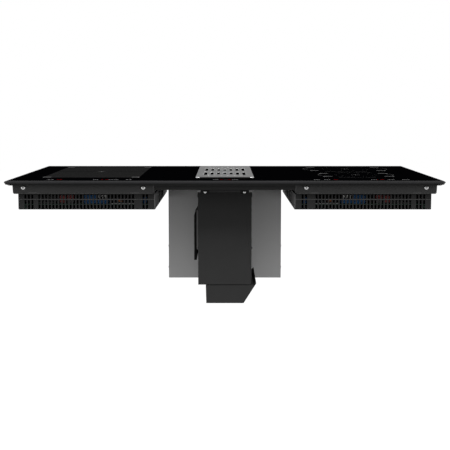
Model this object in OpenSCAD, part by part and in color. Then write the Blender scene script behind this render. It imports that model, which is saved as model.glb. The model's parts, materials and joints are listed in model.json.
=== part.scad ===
// Downdraft induction cooktop, as separate sub-parts.
// Z = 0 is the worktop surface that the cooktop seats on. X = 0 and Y = 0 are the middle of the glass.
// The front edge faces -Y. The right half is modelled, and the left half mirrors it.

/* [Glass] */
// Width of the cooktop over its side trims
cooktop_w = 900; // [860:5:1000]
// Depth of the glass
glass_d = 520; // [500:5:560]
// Thickness of the glass
glass_t = 6; // [5:0.5:8]
// Height and width of the bevel along the top edges
glass_bevel = 3; // [1:0.5:3.5]
// Radius of the glass corners
glass_corner_r = 4; // [3.5:0.5:8]
// Height of the glass underside over the worktop
glass_gap = 4; // [3.5:0.5:6]
// How far the front and rear seal strips lie in from the glass edge
seal_inset = 7; // [4:1:8]

/* [Modules] */
// Half of the clear width between the two coil modules
module_inner_x = 144.8; // [140:0.2:160]
// How far a module's outer wall lies in from the cooktop's end
module_outer_inset = 13.7; // [13.5:0.1:20]
// How far the module's front and rear walls lie in from the glass edge
module_end_inset = 18; // [17:1:30]
// Height of the shallow tray that holds the coils
tray_h = 22; // [18:1:30]
// Height of the vented lower box
vent_h = 32.6; // [32.6:0.2:50]
// Thickness of the sheet metal
sheet_t = 1.2; // [0.8:0.1:1.5]
// Width of one vent slot
slot_w = 4.1; // [2:0.1:5]
// Distance from one vent slot to the next
slot_pitch = 7.15; // [6.5:0.01:7.5]

/* [Grille and filter] */
// Width of the grille
grille_w = 122.8; // [118:0.2:124]
// How far the grille's front edge lies in from the front of the glass
grille_front_inset = 59.5; // [55:0.5:80]
// How far the grille's rear edge lies in from the rear of the glass
grille_rear_inset = 73; // [60:0.5:90]
// Height of the grille's top over the glass
grille_rise = 4; // [3:0.5:6]
// Width of a grille slot
grille_slot_w = 7.2; // [3:0.2:8]
// Distance between the grille's slot columns
grille_pitch = 14; // [12:0.5:16]
// Height of the grease filter cassette
filter_h = 30; // [20:1:34]

/* [Downdraft housing] */
// Width of the black filter housing
housing_w = 113.4; // [110:0.2:118]
// How far the filter housing's front face lies in from the front of the glass
housing_front_inset = 75; // [74:1:85]
// Height of the filter housing's floor
housing_floor_z = -217; // [-222:0.1:-208]
// Thickness of the control box beside the housing
control_t = 9.6; // [6:0.2:12]
// Height of the tray's underside
drip_floor_z = -257; // [-264:0.1:-250]

/* [Fan box] */
// Width of the fan box
fan_box_w = 262.6; // [240:0.2:270]
// Front face of the fan box along Y
fan_box_front_y = 40; // [40:1:44]
// Depth of the fan box
fan_box_d = 170; // [166:1:176]
// Height of the fan box floor
fan_box_floor_z = -239.7; // [-247:0.1:-228]
// Radius of the impeller
impeller_r = 82; // [72:1:88]
// Number of impeller blades
blade_count = 7; // [5:1:11]
// Outer radius of the duct spigot
spigot_r = 74.5; // [60:0.5:76]
// Length of the duct spigot behind the fan box
spigot_len = 38; // [20:1:46]
// Radius of the mains cord's way through its gland
gland_bore_r = 6.5; // [4:0.5:7]

/* [Hidden] */
$fn = 96;
// Overrun of every cut past the face that it opens
over = 1;
// Gap between pieces that are lifted or slid apart
part_gap = 0.3;
// Gap between fixed sheet metal pieces that nest
nest_gap = 0.2;
// Radial clearance of a spinning shaft
shaft_gap = 0.05;

// Glass and its seat
half_w = cooktop_w / 2;
half_d = glass_d / 2;
glass_top_z = glass_gap + glass_t;
trim_lip = 6;
trim_foot_out = 8.5;
trim_foot_in = 13;
trim_back = module_outer_inset - part_gap;
end_tape_t = 0.8;
trim_foot_z = end_tape_t;
screw_head_h = 2.2;
seal_screw_gap = 0.8;
seal_out_y = half_d - seal_inset;
seal_in_y = half_d - module_end_inset + screw_head_h + seal_screw_gap;
grille_front_y = grille_front_inset - half_d;
grille_rear_y = half_d - grille_rear_inset;
grille_d = grille_rear_y - grille_front_y;
grille_y = (grille_front_y + grille_rear_y) / 2;
opening_inset = 9.4;
opening_r = 4;
opening_w = grille_w - 2 * opening_inset;
opening_d = grille_d - 2 * opening_inset;

// Coil modules
tray_out_x = half_w - module_outer_inset;
tray_front_y = -(half_d - module_end_inset);
tray_rear_y = -tray_front_y;
tray_floor_z = glass_gap - tray_h;
tray_draft = 1.2;
tray_edge = 2.2;
module_mid_x = (module_inner_x + tray_out_x) / 2;
vent_in_step = 1;
vent_in_x = module_inner_x - vent_in_step;
vent_out_inset = 11.1;
vent_out_x = tray_out_x - vent_out_inset;
vent_front_setback = 4;
vent_rear_setback = 37;
vent_front_y = tray_front_y + vent_front_setback;
vent_rear_y = tray_rear_y - vent_rear_setback;
vent_floor_z = tray_floor_z - vent_h;

// Vent slots: the columns count from the outer end, and three of them stay blank
slot_end_gap = 14.7;
slot_columns = floor((vent_out_x - vent_in_x - 2 * slot_end_gap) / slot_pitch) + 1;
blank_columns = [3, slot_columns - 4, slot_columns - 3];
slot_top_gap = 1.6;
slot_upper_h = 8.9;
slot_bar_h = 2.5;
slot_floor_gap = 0.8;
slot_lower_z = vent_floor_z + slot_floor_gap;
slot_bar_z = tray_floor_z - slot_top_gap - slot_upper_h - slot_bar_h;
side_slot_starts = [135, 223];
side_slot_counts = [6, 9];

// Screws of the modules
screw_head_r = 4.7;
screw_cross_w = 1.2;
screw_cross_len = 5;
screw_cross_deep = 1;
screw_shank_r = 2;
screw_len = 8;
module_screw_drop = 9;
module_screw_out_inset = 22.3;
module_screw_in_inset = 22.7;
module_screw_z = glass_gap - module_screw_drop;
module_screw_xs = [module_inner_x + module_screw_in_inset, tray_out_x - module_screw_out_inset];

// Coils: the stack from the coil plate up to the mica sheet
coil_plate_t = 1.5;
coil_plate_gap = 5;
coil_plate_edge_gap = 3;
coil_plate_flange = 10;
coil_plate_z = tray_floor_z + sheet_t + coil_plate_gap;
ferrite_t = 4;
ferrite_w = 14;
ferrite_count = 8;
winding_t = 4.4;
mica_t = 0.5;
ferrite_z = coil_plate_z + coil_plate_t;
winding_z = ferrite_z + ferrite_t;
mica_z = winding_z + winding_t;
plate_foot_r = 4;
small_coil_r = 74;
large_coil_r = 94;
coil_rear_gap = 22;
coil_mid_gap = 36;
large_coil_y = tray_rear_y - coil_rear_gap - large_coil_r;
small_coil_y = large_coil_y - large_coil_r - coil_mid_gap - small_coil_r;
coil_hole_r = 22;
flex_coil_w = 196;
flex_coil_d = 176;
flex_coil_r = 40;
flex_mid_y = 10;
flex_gap = 12;
flex_step = (flex_coil_d + flex_gap) / 2;
flex_coil_ys = [flex_mid_y - flex_step, flex_mid_y + flex_step];
sensor_r = 7;
sensor_top_gap = 0.2;
sensor_rim = 1;

// Touch boards under the front of the glass
touch_board_t = 1.6;
touch_board_front = 6;
touch_board_gap = 11;
touch_board_end = 12;

// Electronics in the vent boxes
board_t = 1.6;
board_gap = 8;
board_edge = 6;
board_z = vent_floor_z + sheet_t + board_gap;
board_foot_r = 3;
board_top_z = board_z + board_t;
board_rear_gap = 24;
// Places and widths across the box are shares of its width, from its inner wall
vent_w = vent_out_x - vent_in_x;
capacitor_d = 15;
capacitor_front_gap = 10;
capacitor_start_shares = [0.427, 0.345, 0.064];
capacitor_width_shares = [0.096, 0.078, 0.025];
capacitor_heights = [19, 10, 14];
choke_shares = [0.269, 0.399];
choke_r = 7.5;
choke_core_r = 3;
choke_h = 8.5;
choke_y_gap = 14;
relay_start_shares = [0.601, 0.662];
relay_width_shares = [0.05, 0.043];
relay_heights = [18, 17];
relay_d = 16;
relay_y_gap = 8;
heatsink_start_share = 0.719;
heatsink_width_share = 0.157;
heatsink_w = vent_w * heatsink_width_share;
heatsink_d = 150;
heatsink_h = 16;
heatsink_base = 3;
heatsink_fins = 9;
heatsink_fin_t = 1.4;
heatsink_y_gap = 12;

// Cooling fan of a module
fan_frame_w = 92;
fan_frame_h = 25;
fan_share = 0.52;
fan_rear_gap = 85;
fan_x = vent_in_x + vent_w * fan_share;
fan_y = vent_rear_y - fan_rear_gap;
board_rear_y = fan_y - fan_frame_w / 2 - board_rear_gap;
fan_tip_r = 42;
fan_tip_gap = 1;
fan_hub_r = 17;
fan_blades = 7;
fan_blade_t = 1.5;
fan_blade_tilt = 40;
fan_blade_chord = 22;
fan_pin_r = 3;
fan_arm_t = 3;
fan_z = vent_floor_z + sheet_t;
fan_grid_w = 3;
fan_arm_gap = 1.5;
fan_rotor_low = fan_arm_t + fan_arm_gap;
fan_hub_step = 1;
fan_rotor_h = 18;

// Centre carrier and intake well
housing_front_y = housing_front_inset - half_d;
carrier_side_gap = 0.8;
carrier_h = 14;
carrier_x = module_inner_x - carrier_side_gap;
carrier_z = glass_gap - carrier_h;
well_sheet = 0.8;
well_x = housing_w / 2 + nest_gap + well_sheet;
well_front_y = housing_front_y - nest_gap - well_sheet;
well_margin = 2.5;
well_top_front_y = grille_y - opening_d / 2 - well_margin;
well_rear_y = grille_y + opening_d / 2 + well_margin;
well_sleeve_drop = 20;
well_sleeve_z = carrier_z - well_sleeve_drop;
well_floor_z = carrier_z + sheet_t + nest_gap;

// Filter housing
housing_x = housing_w / 2;
gasket_t = 2;
gasket_inset = 1;
housing_rear_y = fan_box_front_y - gasket_t;
cover_drop = 2;
rim_drop = 10;
ledge_drop = 50;
housing_top_z = carrier_z - cover_drop;
housing_rim_z = carrier_z - rim_drop;
ledge_w = 8;
ledge_z = carrier_z - ledge_drop;
window_margin = 9;
window_half_h = 50;
drain_w = 50;
drain_d = 120;
housing_screw_r = 3.4;
housing_screw_h = 2;
housing_shank_r = 1;
housing_screw_inset = 15.1;
housing_screw_drop = 8.7;
housing_screw_x = housing_x - housing_screw_inset;
housing_screw_z = carrier_z - housing_screw_drop;
side_screw_rise = 76.7;
side_screw_inset = 14;
side_screw_z = housing_floor_z + side_screw_rise;
side_screw_y = housing_front_y + side_screw_inset;
pocket_w = 16;
pocket_h = 7;
hanger_w = 8;
hanger_out = 2.3;
hanger_drop = 9;
hanger_x = housing_x + hanger_out;
hanger_z_low = carrier_z - hanger_drop;
hanger_h = 4;
hanger_t = 1;
lip_screw_gap = 5.7;
centre_lip_w = 2 * (housing_screw_x - housing_screw_r - lip_screw_gap);

// Grille and filter
grille_air_gap = 0.9;
grille_low_z = glass_top_z + grille_air_gap;
grille_top_z = glass_top_z + grille_rise;
grille_corner_r = 8;
grille_skirt_h = 14;
grille_skirt_t = 1.5;
grille_skirt_gap = 1;
grille_cols = 7;
grille_row_shares = [-0.375, 0.234];
grille_slot_mid = 54;
grille_slot_step = 13;
grille_slot_drift = 4;
grille_hole_r = 2;
grille_hole_shares = [-0.791, 0.669];
foot_r = 3;
foot_inset = 1;
foot_x = grille_w / 2 - foot_r - foot_inset;
foot_h = grille_low_z - glass_top_z - part_gap;
filter_gap = 4;
filter_x = housing_x - sheet_t - filter_gap;
filter_front_y = housing_front_y + sheet_t + filter_gap;
filter_rear_y = housing_rear_y - sheet_t - filter_gap;
filter_z = ledge_z + sheet_t + part_gap;
filter_rim = 10;
filter_wall = 1;
mesh_t = 14;
mesh_rise = 4;
mesh_z = filter_z + mesh_rise;
handle_w = 56;
handle_h = 14;
handle_bar = 8;
handle_base = 1;
handle_top = 4;

// Control box on the housing's left side
control_base_t = 4.2;
control_front_inset = 45;
control_rise = 46.4;
control_drop = 53.4;
control_front_y = housing_front_y + control_front_inset;
control_len = 118;
control_z = housing_floor_z + control_rise;
control_top_z = carrier_z - control_drop;
control_slope = 9;
control_base_out = 2;
control_base_inset = 24;
control_base_rise = 1.5;
control_base_z = control_z + control_base_inset;
control_base_top = control_top_z + control_base_rise;

// Sliding tray under the housing
drip_left_inset = 16.1;
drip_left_slope = 1;
drip_right_inset = 16.6;
drip_right_out = 10.5;
drip_rim_rise = 2.8;
drip_flange_drop = 3.4;
drip_rear_gap = 3;
drip_left_top_x = -housing_x + drip_left_inset;
drip_left_x = drip_left_top_x + drip_left_slope;
drip_right_x = housing_x - drip_right_inset;
drip_right_top_x = housing_x + drip_right_out;
drip_rim_z = housing_floor_z + drip_rim_rise;
drip_flange_z = housing_floor_z - drip_flange_drop;
drip_t = 1.2;
drip_rear_y = housing_rear_y - drip_rear_gap;
drip_flange_w = 7;
drip_rim_gap = 0.8;
drip_slant = (drip_right_top_x - drip_right_x) / (drip_rim_z - drip_floor_z);
drip_flange_x = drip_right_x + drip_slant * (drip_flange_z - drip_floor_z);
rail_t = 1.2;
rail_lip = 5;
rail_front_gap = 3;
runner_low_z = drip_flange_z - drip_t / 2 - part_gap - rail_t;

// Fan box
fan_box_x = fan_box_w / 2;
fan_box_rear_y = fan_box_front_y + fan_box_d;
impeller_z = (carrier_z + fan_box_floor_z) / 2;
window_top_z = impeller_z + window_half_h;
window_low_z = impeller_z - window_half_h;
throat_r = 48;
throat_wall = 1.5;
inlet_flange_r = 64;
inlet_len = 17;
inlet_lap = 3;
impeller_front_y = fan_box_front_y + sheet_t + inlet_len - inlet_lap;
impeller_len = 56;
impeller_disc_t = 2;
shroud_gap = 1.5;
shroud_rise = 12;
blade_t = 2;
blade_angle = 35;
hub_r = 14;
hub_len = 6;
shaft_r = 4;
shaft_len = 34;
motor_r = 38;
motor_len = 40;
motor_gap = 5;
motor_y = impeller_front_y + impeller_len + motor_gap;
bracket_t = 2;
bracket_h = 44;
bracket_foot = 16;
bracket_y = motor_y + motor_len;
spigot_t = 1.5;
spigot_flange = 8;
spigot_flange_t = 1.5;
box_screw_r = 3.25;
box_screw_h = 1.5;
box_screw_inset = 12;
box_screw_rises = [24, 74.2];
box_screw_ys = [fan_box_front_y + box_screw_inset, fan_box_rear_y - box_screw_inset];

// Cable gland in the right vent box's rear wall
gland_r = 10;
gland_nut_r = 13;
gland_nut_t = 5;
gland_len = 24;
gland_end_gap = 45;
gland_x = vent_out_x - gland_end_gap;
gland_z = vent_floor_z + vent_h / 2;

// Shapes that repeat

// Block from its low corner to its high corner
module span(low, high) {
    translate(low)
        cube(high - low);
}

// Sheet metal pan with an open top
module pan(low, high, wall) {
    difference() {
        span(low, high);
        span(low + [wall, wall, wall], [high.x - wall, high.y - wall, high.z + over]);
    }
}

// Square tube standing along Z, open at both ends
module collar(low, high, wall) {
    difference() {
        span(low, high);
        span(low + [wall, wall, -over], high + [-wall, -wall, over]);
    }
}

// Flat outline with round corners
module round_rect(w, d, r) {
    square([w - 2 * r, d], center = true);
    square([w, d - 2 * r], center = true);
    for (x = [-1, 1], y = [-1, 1])
        translate([x * (w / 2 - r), y * (d / 2 - r)])
            circle(r);
}

// Slot cut through a plate, long along Y
module slot(w, len, h) {
    translate([-w / 2, -(len - w) / 2, 0])
        cube([w, len - w, h]);
    for (y = [-1, 1])
        translate([0, y * (len - w) / 2, 0])
            cylinder(r = w / 2, h = h, $fn = 32);
}

// Cylinder along Y from one plane to another
module rod_y(r, from_y, to_y) {
    translate([0, from_y, 0])
        rotate([-90, 0, 0])
            cylinder(r = r, h = to_y - from_y);
}

// Solid turned about the Y axis from points [radius, distance along Y]
module turned_y(points) {
    rotate([-90, 0, 0])
        rotate_extrude()
            polygon(points);
}

// Bar with an outline in X and Z, run along Y
module bar_y(points, from_y, to_y) {
    translate([0, to_y, 0])
        rotate([90, 0, 0])
            linear_extrude(to_y - from_y)
                polygon(points);
}

// Screw with its head at the origin, its shank along +Y and a cross recess in the head
module screw_y(head_r, head_h, shank_r, len) {
    difference() {
        rod_y(head_r, -head_h, 0);
        for (turn = [0, 90])
            rotate([0, turn, 0])
                translate([-screw_cross_len / 2, -head_h - over, -screw_cross_w / 2])
                    cube([screw_cross_len, over + screw_cross_deep, screw_cross_w]);
    }
    rod_y(shank_r, 0, len);
}

module on_left() {
    mirror([1, 0, 0])
        children();
}

// Glass, seal and trims

// Slab whose top edges are bevelled all round
module bevelled_slab(w, d, t, r, bevel) {
    linear_extrude(t - bevel)
        round_rect(w, d, r);
    translate([0, 0, t - bevel]) {
        rotate([90, 0, 0])
            translate([0, 0, -(d / 2 - r)])
                linear_extrude(d - 2 * r)
                    polygon([[-w / 2, 0], [w / 2, 0], [w / 2 - bevel, bevel], [-w / 2 + bevel, bevel]]);
        rotate([90, 0, 90])
            translate([0, 0, -(w / 2 - r)])
                linear_extrude(w - 2 * r)
                    polygon([[-d / 2, 0], [d / 2, 0], [d / 2 - bevel, bevel], [-d / 2 + bevel, bevel]]);
        for (x = [-1, 1], y = [-1, 1])
            translate([x * (w / 2 - r), y * (d / 2 - r), 0])
                cylinder(r1 = r, r2 = r - bevel, h = bevel);
    }
}

module glass_top() {
    color([0.02, 0.02, 0.02])
        difference() {
            intersection() {
                translate([0, 0, glass_gap])
                    bevelled_slab(cooktop_w, glass_d, glass_t, glass_corner_r, glass_bevel);
                span([-half_w + trim_lip, -half_d - over, 0],
                    [half_w - trim_lip, half_d + over, glass_top_z + over]);
            }
            translate([0, grille_y, -over])
                linear_extrude(glass_top_z + 2 * over)
                    round_rect(opening_w, opening_d, opening_r);
        }
}

module worktop_seal() {
    side_out_x = half_w - trim_foot_out;
    side_in_x = half_w - trim_foot_in;
    strip_x = half_w - module_outer_inset;
    color([0.05, 0.05, 0.05]) {
        collar([-side_out_x, -seal_out_y, 0], [side_out_x, seal_out_y, end_tape_t], side_out_x - side_in_x);
        for (y = [[-seal_out_y, -seal_in_y], [seal_in_y, seal_out_y]]) {
            span([-side_out_x, y[0], 0], [side_out_x, y[1], end_tape_t]);
            span([-strip_x, y[0], 0], [strip_x, y[1], glass_gap]);
        }
    }
}

module side_trim() {
    color([0.1, 0.1, 0.1])
        bar_y([
            [half_w - trim_lip, glass_top_z],
            [half_w - glass_bevel, glass_top_z],
            [half_w, glass_top_z - glass_bevel],
            [half_w - trim_foot_out, trim_foot_z],
            [half_w - trim_foot_in, trim_foot_z],
            [half_w - trim_back, glass_gap],
            [half_w - trim_lip, glass_gap]
        ], -half_d, half_d);
}

// Coil modules

// Outline of the coil tray in X and Z, drawn in from its outer faces by a wall
module tray_body(wall, from_y, to_y) {
    bar_y([
        [module_inner_x + wall, glass_gap + (wall > 0 ? over : 0)],
        [module_inner_x + wall, tray_floor_z + tray_edge + wall],
        [module_inner_x + tray_edge + wall, tray_floor_z + wall],
        [tray_out_x - tray_draft - tray_edge - wall, tray_floor_z + wall],
        [tray_out_x - tray_draft - wall, tray_floor_z + tray_edge + wall],
        [tray_out_x - wall, glass_gap + (wall > 0 ? over : 0)]
    ], from_y, to_y);
}

module at_module_screws() {
    for (x = module_screw_xs)
        translate([x, tray_front_y, module_screw_z])
            children();
}

module module_tray() {
    color([0.16, 0.16, 0.16])
        difference() {
            tray_body(0, tray_front_y, tray_rear_y);
            tray_body(sheet_t, tray_front_y + sheet_t, tray_rear_y - sheet_t);
            at_module_screws()
                rod_y(screw_shank_r + nest_gap, -over, sheet_t + over);
            for (y = flex_coil_ys)
                translate([module_mid_x, y, tray_floor_z - over])
                    cylinder(r = coil_hole_r, h = sheet_t + 2 * over);
        }
}

// One column of vent slots, cut along Y through the front wall
module vent_slot() {
    wide = [slot_w / 2, sheet_t + over];
    span([-wide.x, -over, slot_bar_z + slot_bar_h], [wide.x, wide.y, tray_floor_z - slot_top_gap]);
    span([-wide.x, -over, slot_lower_z], [wide.x, wide.y, slot_bar_z]);
}

module vent_box() {
    color([0.09, 0.09, 0.09])
        difference() {
            pan([vent_in_x, vent_front_y, vent_floor_z], [vent_out_x, vent_rear_y, tray_floor_z], sheet_t);
            for (i = [0 : slot_columns - 1])
                if (len(search(i, blank_columns)) == 0)
                    translate([vent_out_x - slot_end_gap - i * slot_pitch, vent_front_y, 0])
                        vent_slot();
            for (group = [0 : len(side_slot_starts) - 1], i = [0 : side_slot_counts[group] - 1])
                translate([vent_in_x + sheet_t, vent_front_y + side_slot_starts[group] + i * slot_pitch, 0])
                    rotate([0, 0, 90])
                        vent_slot();
            difference() {
                translate([fan_x, fan_y, vent_floor_z - over])
                    cylinder(r = fan_tip_r, h = sheet_t + 2 * over);
                for (turn = [0 : 45 : 135])
                    translate([fan_x, fan_y, vent_floor_z])
                        rotate([0, 0, turn])
                            span([-fan_tip_r, -fan_grid_w / 2, -over],
                                [fan_tip_r, fan_grid_w / 2, sheet_t + over]);
            }
            translate([gland_x, vent_rear_y, gland_z])
                rod_y(gland_r + nest_gap, -sheet_t - over, over);
        }
}

module module_screws() {
    color([0.8, 0.8, 0.8])
        for (side = [0, 1])
            mirror([side, 0, 0])
                at_module_screws()
                    screw_y(screw_head_r, screw_head_h, screw_shank_r, screw_len);
}

module coil_plate() {
    low = [module_inner_x + sheet_t + coil_plate_edge_gap, tray_front_y + sheet_t + nest_gap];
    high = [tray_out_x - tray_draft - sheet_t - coil_plate_edge_gap, tray_rear_y - sheet_t - nest_gap];
    color([0.7, 0.7, 0.72])
        difference() {
            union() {
                span([low.x, low.y, coil_plate_z], [high.x, high.y, coil_plate_z + coil_plate_t]);
                span([low.x, low.y, coil_plate_z],
                    [high.x, low.y + coil_plate_t, coil_plate_z + coil_plate_flange]);
                for (x = [low.x + tray_edge + plate_foot_r, high.x - tray_edge - plate_foot_r])
                    for (y = [low.y + screw_len + plate_foot_r, high.y - screw_len - plate_foot_r])
                        translate([x, y, tray_floor_z + sheet_t])
                            cylinder(r = plate_foot_r, h = coil_plate_gap + coil_plate_t / 2);
            }
            at_module_screws()
                rod_y(screw_shank_r + nest_gap, 0, screw_len + over);
        }
}

module round_coil(r) {
    difference() {
        cylinder(r = r, h = winding_t);
        translate([0, 0, -over])
            cylinder(r = coil_hole_r, h = winding_t + 2 * over);
    }
}

module flex_coil() {
    difference() {
        linear_extrude(winding_t)
            round_rect(flex_coil_w, flex_coil_d, flex_coil_r);
        translate([0, 0, -over])
            cylinder(r = coil_hole_r, h = winding_t + 2 * over);
    }
}

module left_windings() {
    color([0.72, 0.4, 0.2])
        on_left()
            for (y = flex_coil_ys)
                translate([module_mid_x, y, winding_z])
                    flex_coil();
}

module right_windings() {
    color([0.72, 0.4, 0.2]) {
        translate([module_mid_x, small_coil_y, winding_z])
            round_coil(small_coil_r);
        translate([module_mid_x, large_coil_y, winding_z])
            round_coil(large_coil_r);
    }
}

// Star of ferrite bars under one coil
module ferrite_star(r) {
    for (i = [0 : ferrite_count - 1])
        rotate([0, 0, i * 360 / ferrite_count])
            span([coil_hole_r, -ferrite_w / 2, 0], [r, ferrite_w / 2, ferrite_t]);
}

module left_ferrites() {
    color([0.2, 0.2, 0.22])
        on_left()
            for (y = flex_coil_ys)
                translate([module_mid_x, y, ferrite_z])
                    ferrite_star(flex_coil_d / 2);
}

module right_ferrites() {
    color([0.2, 0.2, 0.22]) {
        translate([module_mid_x, small_coil_y, ferrite_z])
            ferrite_star(small_coil_r);
        translate([module_mid_x, large_coil_y, ferrite_z])
            ferrite_star(large_coil_r);
    }
}

module mica_sheet(sensor_ys) {
    mica_d = tray_rear_y - tray_front_y - 4 * sensor_r;
    color([0.75, 0.7, 0.6])
        difference() {
            translate([module_mid_x, 0, mica_z])
                linear_extrude(mica_t)
                    square([2 * large_coil_r + sensor_r, mica_d], center = true);
            for (y = sensor_ys)
                translate([module_mid_x, y, mica_z - over])
                    cylinder(r = sensor_r + part_gap, h = mica_t + 2 * over);
        }
}

// Spring-loaded sensor that presses on the glass in the middle of a zone
module zone_sensor() {
    top_z = glass_gap - sensor_top_gap;
    translate([0, 0, ferrite_z])
        cylinder(r = sensor_r / 2, h = mica_z - ferrite_z);
    translate([0, 0, mica_z - sensor_rim])
        cylinder(r = sensor_r, h = top_z - mica_z + sensor_rim);
}

module zone_sensors() {
    color([0.6, 0.6, 0.6]) {
        for (y = flex_coil_ys)
            translate([-module_mid_x, y, 0])
                zone_sensor();
        for (y = [small_coil_y, large_coil_y])
            translate([module_mid_x, y, 0])
                zone_sensor();
    }
}

module touch_board(from_x, to_x) {
    front_y = tray_front_y + sheet_t + touch_board_front;
    rear_y = well_top_front_y - touch_board_gap;
    top_z = glass_gap - sensor_top_gap;
    color([0.1, 0.3, 0.15])
        span([from_x, front_y, top_z - touch_board_t], [to_x, rear_y, top_z]);
}

module side_touch_board() {
    touch_board(module_inner_x + touch_board_end, tray_out_x - touch_board_end);
}

module centre_touch_board() {
    touch_board(-carrier_x + touch_board_end, carrier_x - touch_board_end);
}

// Electronics

module power_board() {
    low = [vent_in_x + board_edge, vent_front_y + board_edge];
    high = [vent_out_x - board_edge, board_rear_y];
    color([0.1, 0.35, 0.2]) {
        span([low.x, low.y, board_z], [high.x, high.y, board_top_z]);
        for (x = [low.x + board_edge, high.x - board_edge], y = [low.y + board_edge, high.y - board_edge])
            translate([x, y, vent_floor_z + sheet_t])
                cylinder(r = board_foot_r, h = board_gap + board_t / 2);
    }
}

module capacitors() {
    front_y = vent_front_y + capacitor_front_gap;
    color([0.1, 0.3, 0.75])
        for (i = [0 : len(capacitor_start_shares) - 1])
            translate([vent_in_x + vent_w * capacitor_start_shares[i], front_y, board_top_z])
                cube([vent_w * capacitor_width_shares[i], capacitor_d, capacitor_heights[i]]);
}

module chokes() {
    mid_y = vent_front_y + capacitor_front_gap + capacitor_d + choke_y_gap;
    color([0.8, 0.45, 0.15])
        for (share = choke_shares)
            translate([vent_in_x + vent_w * share, mid_y, board_top_z])
                difference() {
                    cylinder(r = choke_r, h = choke_h);
                    translate([0, 0, choke_h - choke_core_r])
                        cylinder(r = choke_core_r, h = choke_core_r + over);
                }
}

module relays() {
    front_y = vent_front_y + relay_y_gap + board_edge;
    color([0.7, 0.12, 0.08])
        for (i = [0 : len(relay_start_shares) - 1])
            translate([vent_in_x + vent_w * relay_start_shares[i], front_y, board_top_z])
                cube([vent_w * relay_width_shares[i], relay_d, relay_heights[i]]);
}

module heatsink() {
    front_y = vent_front_y + heatsink_y_gap;
    step = (heatsink_w - heatsink_fin_t) / (heatsink_fins - 1);
    color([0.75, 0.75, 0.77])
        translate([vent_in_x + vent_w * heatsink_start_share, front_y, board_top_z]) {
            cube([heatsink_w, heatsink_d, heatsink_base]);
            for (i = [0 : heatsink_fins - 1])
                translate([i * step, 0, heatsink_base / 2])
                    cube([heatsink_fin_t, heatsink_d, heatsink_h - heatsink_base / 2]);
        }
}

module fan_frame() {
    half = fan_frame_w / 2;
    axle_z = fan_arm_t + fan_rotor_h / 2;
    color([0.12, 0.12, 0.12])
        translate([fan_x, fan_y, fan_z]) {
            difference() {
                span([-half, -half, 0], [half, half, fan_frame_h]);
                translate([0, 0, -over])
                    cylinder(r = fan_tip_r + fan_tip_gap, h = fan_frame_h + 2 * over);
            }
            for (turn = [45, 135])
                rotate([0, 0, turn])
                    span([-half, -fan_grid_w / 2, 0], [half, fan_grid_w / 2, fan_arm_t]);
            cylinder(r = fan_hub_r - fan_hub_step, h = fan_arm_t);
            cylinder(r = fan_pin_r, h = axle_z);
        }
}

module fan_rotor() {
    color([0.2, 0.2, 0.2])
        translate([fan_x, fan_y, fan_z + fan_rotor_low])
            difference() {
                union() {
                    cylinder(r = fan_hub_r, h = fan_rotor_h);
                    for (i = [0 : fan_blades - 1])
                        rotate([0, 0, i * 360 / fan_blades])
                            intersection() {
                                translate([fan_hub_r - fan_blade_t, 0, fan_rotor_h / 2])
                                    rotate([fan_blade_tilt, 0, 0])
                                        translate([0, -fan_blade_chord / 2, -fan_blade_t / 2])
                                            cube([fan_tip_r, fan_blade_chord, fan_blade_t]);
                                cylinder(r = fan_tip_r, h = fan_rotor_h);
                            }
                }
                translate([0, 0, -over])
                    cylinder(r = fan_pin_r + shaft_gap, h = fan_rotor_h - fan_arm_t + over);
            }
}

// Intake

module centre_carrier() {
    color([0.13, 0.13, 0.13])
        difference() {
            pan([-carrier_x, tray_front_y, carrier_z], [carrier_x, tray_rear_y, glass_gap], sheet_t);
            span([-well_x - nest_gap, well_front_y - nest_gap, carrier_z - over],
                [well_x + nest_gap, housing_rear_y + well_sheet + 2 * nest_gap, carrier_z + sheet_t + over]);
        }
}

module intake_well() {
    sleeve_rear_y = housing_rear_y + nest_gap + well_sheet;
    color([0.08, 0.08, 0.08])
        difference() {
            union() {
                pan([-well_x, well_top_front_y, well_floor_z], [well_x, well_rear_y, glass_gap], well_sheet);
                collar([-well_x, well_front_y, well_sleeve_z],
                    [well_x, sleeve_rear_y, well_floor_z + well_sheet], well_sheet);
            }
            span([-well_x, well_front_y, well_floor_z - over] + [well_sheet, well_sheet, 0],
                [well_x, sleeve_rear_y, well_floor_z + well_sheet + over] - [well_sheet, well_sheet, 0]);
            for (x = [-housing_screw_x, housing_screw_x])
                translate([x - pocket_w / 2, well_front_y - over, housing_screw_z - pocket_h / 2])
                    cube([pocket_w, well_sheet + 2 * over, pocket_h]);
        }
}

module hanger_plates() {
    low_y = well_front_y - hanger_t;
    color([0.6, 0.6, 0.6]) {
        for (side = [0, 1])
            mirror([side, 0, 0])
                span([hanger_x - hanger_w, low_y, hanger_z_low],
                    [hanger_x, well_front_y, hanger_z_low + hanger_h]);
        span([-centre_lip_w / 2, low_y, hanger_z_low],
            [centre_lip_w / 2, well_front_y, hanger_z_low + hanger_h]);
    }
}

module filter_housing() {
    front_y = housing_front_y + sheet_t;
    inner_x = housing_x - sheet_t;
    color([0.07, 0.07, 0.07])
        difference() {
            union() {
                collar([-housing_x, front_y, housing_floor_z],
                    [housing_x, housing_rear_y, housing_rim_z], sheet_t);
                span([-housing_x, front_y, housing_floor_z],
                    [housing_x, housing_rear_y, housing_floor_z + sheet_t]);
                for (x = [-inner_x, inner_x - ledge_w])
                    span([x, front_y, ledge_z], [x + ledge_w, housing_rear_y, ledge_z + sheet_t]);
            }
            span([-housing_x + window_margin, housing_rear_y - sheet_t - over, window_low_z],
                [housing_x - window_margin, housing_rear_y + over, window_top_z]);
            span([-drain_w / 2, front_y + window_margin, housing_floor_z - over],
                [drain_w / 2, front_y + window_margin + drain_d, housing_floor_z + sheet_t + over]);
        }
}

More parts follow.
